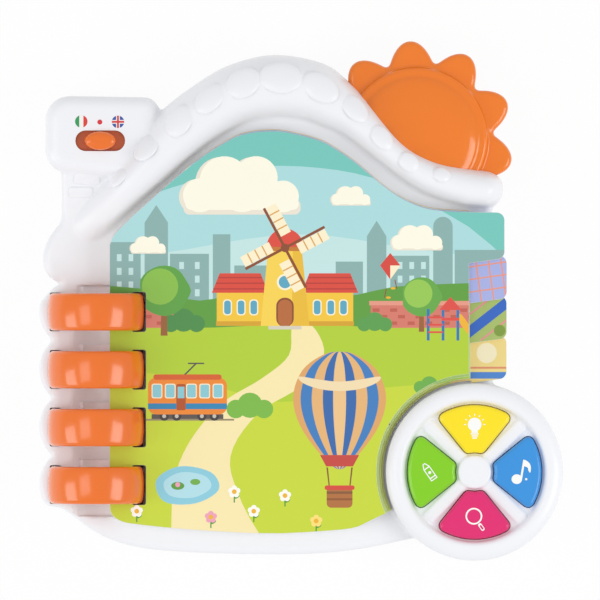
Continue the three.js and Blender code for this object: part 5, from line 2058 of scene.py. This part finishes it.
@dataclass
class Studio:
    """White table, soft lamps and the camera over the book; sizes in metres."""

    distance: float = 5.0
    book_height: float = 0.022
    view_width: float = 0.3084
    centre: tuple[float, float] = (-0.0003, 0.0003)
    world: float = 0.7

    def camera(self) -> None:
        """Camera that looks straight down."""
        data = bpy.data.cameras.new("view")
        data.sensor_width = 36.0
        data.lens = 36.0 * self.distance / self.view_width
        data.clip_start = 0.5
        data.clip_end = 20.0
        eye = bpy.data.objects.new("view", data)
        eye.location = (*self.centre, self.book_height + self.distance)
        bpy.context.scene.collection.objects.link(eye)
        bpy.context.scene.camera = eye

    def table(self) -> None:
        """Pale table top, a thin slab."""
        bm = bmesh.new()
        bmesh.ops.create_grid(bm, x_segments=2, y_segments=2, size=2.0)
        lid = bmesh.ops.extrude_face_region(bm, geom=bm.faces[:])["geom"]
        bmesh.ops.translate(bm, verts=only_verts(lid), vec=(0, 0, -0.02))
        bmesh.ops.recalc_face_normals(bm, faces=bm.faces[:])
        bmesh.ops.translate(bm, verts=bm.verts[:], vec=(0, 0, -0.0002))
        mesh = bpy.data.meshes.new("table")
        bm.to_mesh(mesh)
        bm.free()
        table = bpy.data.objects.new("table", mesh)
        bpy.context.scene.collection.objects.link(table)
        mesh.materials.append(self._table_material())

    @staticmethod
    def _table_material() -> bpy.types.Material:
        """White surface that keeps the shadow and shows white to the camera.

        Returns:
            The material.
        """
        material = bpy.data.materials.new("table_white")
        material.use_nodes = True
        nodes, links = material.node_tree.nodes, material.node_tree.links
        nodes.clear()
        out = nodes.new("ShaderNodeOutputMaterial")
        matte = nodes.new("ShaderNodeBsdfDiffuse")
        matte.inputs["Color"].default_value = (0.9, 0.9, 0.9, 1)
        white = nodes.new("ShaderNodeEmission")
        white.inputs["Color"].default_value = (1, 1, 1, 1)
        white.inputs["Strength"].default_value = 1.0
        rays = nodes.new("ShaderNodeLightPath")
        seen = nodes.new("ShaderNodeMath")
        seen.operation = "MAXIMUM"
        links.new(rays.outputs["Is Camera Ray"], seen.inputs[0])
        links.new(rays.outputs["Is Glossy Ray"], seen.inputs[1])
        also = nodes.new("ShaderNodeMath")
        also.operation = "MAXIMUM"
        links.new(seen.outputs[0], also.inputs[0])
        links.new(rays.outputs["Is Transmission Ray"], also.inputs[1])
        share = nodes.new("ShaderNodeMath")
        share.operation = "MULTIPLY"
        share.inputs[1].default_value = 0.94
        links.new(also.outputs[0], share.inputs[0])
        mix = nodes.new("ShaderNodeMixShader")
        links.new(share.outputs[0], mix.inputs[0])
        links.new(matte.outputs[0], mix.inputs[1])
        links.new(white.outputs[0], mix.inputs[2])
        links.new(mix.outputs[0], out.inputs["Surface"])
        return material

    def sky(self) -> None:
        """Even grey light, seen as white."""
        world = bpy.data.worlds.new("studio")
        bpy.context.scene.world = world
        world.use_nodes = True
        nodes, links = world.node_tree.nodes, world.node_tree.links
        even = nodes["Background"]
        even.inputs["Color"].default_value = (1, 1, 1, 1)
        even.inputs["Strength"].default_value = self.world
        seen = nodes.new("ShaderNodeBackground")
        seen.inputs["Color"].default_value = (1, 1, 1, 1)
        seen.inputs["Strength"].default_value = 1.0
        rays = nodes.new("ShaderNodeLightPath")
        pick = nodes.new("ShaderNodeMath")
        pick.operation = "MAXIMUM"
        links.new(rays.outputs["Is Camera Ray"], pick.inputs[0])
        links.new(rays.outputs["Is Transmission Ray"], pick.inputs[1])
        mix = nodes.new("ShaderNodeMixShader")
        links.new(pick.outputs[0], mix.inputs[0])
        links.new(even.outputs[0], mix.inputs[1])
        links.new(seen.outputs[0], mix.inputs[2])
        links.new(mix.outputs[0], nodes["World Output"].inputs["Surface"])

    @staticmethod
    def lamp(name: str, place: Vector, power: float, size: float) -> None:
        """Square soft lamp that faces the book.

        Args:
            name: Name of the lamp.
            place: Where it stands, in metres.
            power: Watts.
            size: Side in metres.
        """
        data = bpy.data.lights.new(name, "AREA")
        data.energy = power
        data.shape = "SQUARE"
        data.size = size
        lamp = bpy.data.objects.new(name, data)
        lamp.location = place
        lamp.rotation_euler = (Vector((0, 0, 0)) - place).to_track_quat("-Z", "Y").to_euler()
        bpy.context.scene.collection.objects.link(lamp)

    def build(self) -> None:
        """Everything round the book."""
        self.camera()
        self.table()
        self.sky()
        self.lamp("key", Vector((0.95, -0.25, 0.85)), 4.4, 0.66)
        self.lamp("top", Vector((-0.65, -0.1, 1.18)), 1.7, 0.55)
        self.lamp("side", Vector((-1.0, -0.3, 0.5)), 2.2, 0.5)
        bpy.context.scene.view_settings.view_transform = "Standard"


def main() -> None:
    """Builds every piece in turn."""
    logging.basicConfig(level=logging.INFO, format="%(name)s: %(message)s")
    Studio().build()
    house, pod, sun, slider = House(), PlayPod(), Sun(), Slider()
    shell = house.shell(house.block(pod, sun))
    house.front(shell, pod, slider, sun)
    house.rear(shell)
    bpy.data.objects.remove(shell)
    sun.build(house)
    pod.build()
    Rings().build(house)
    slider.build(house)
    Leaves().build(house, pod)
    dress_nodes()
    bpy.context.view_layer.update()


if __name__ == "__main__":
    main()
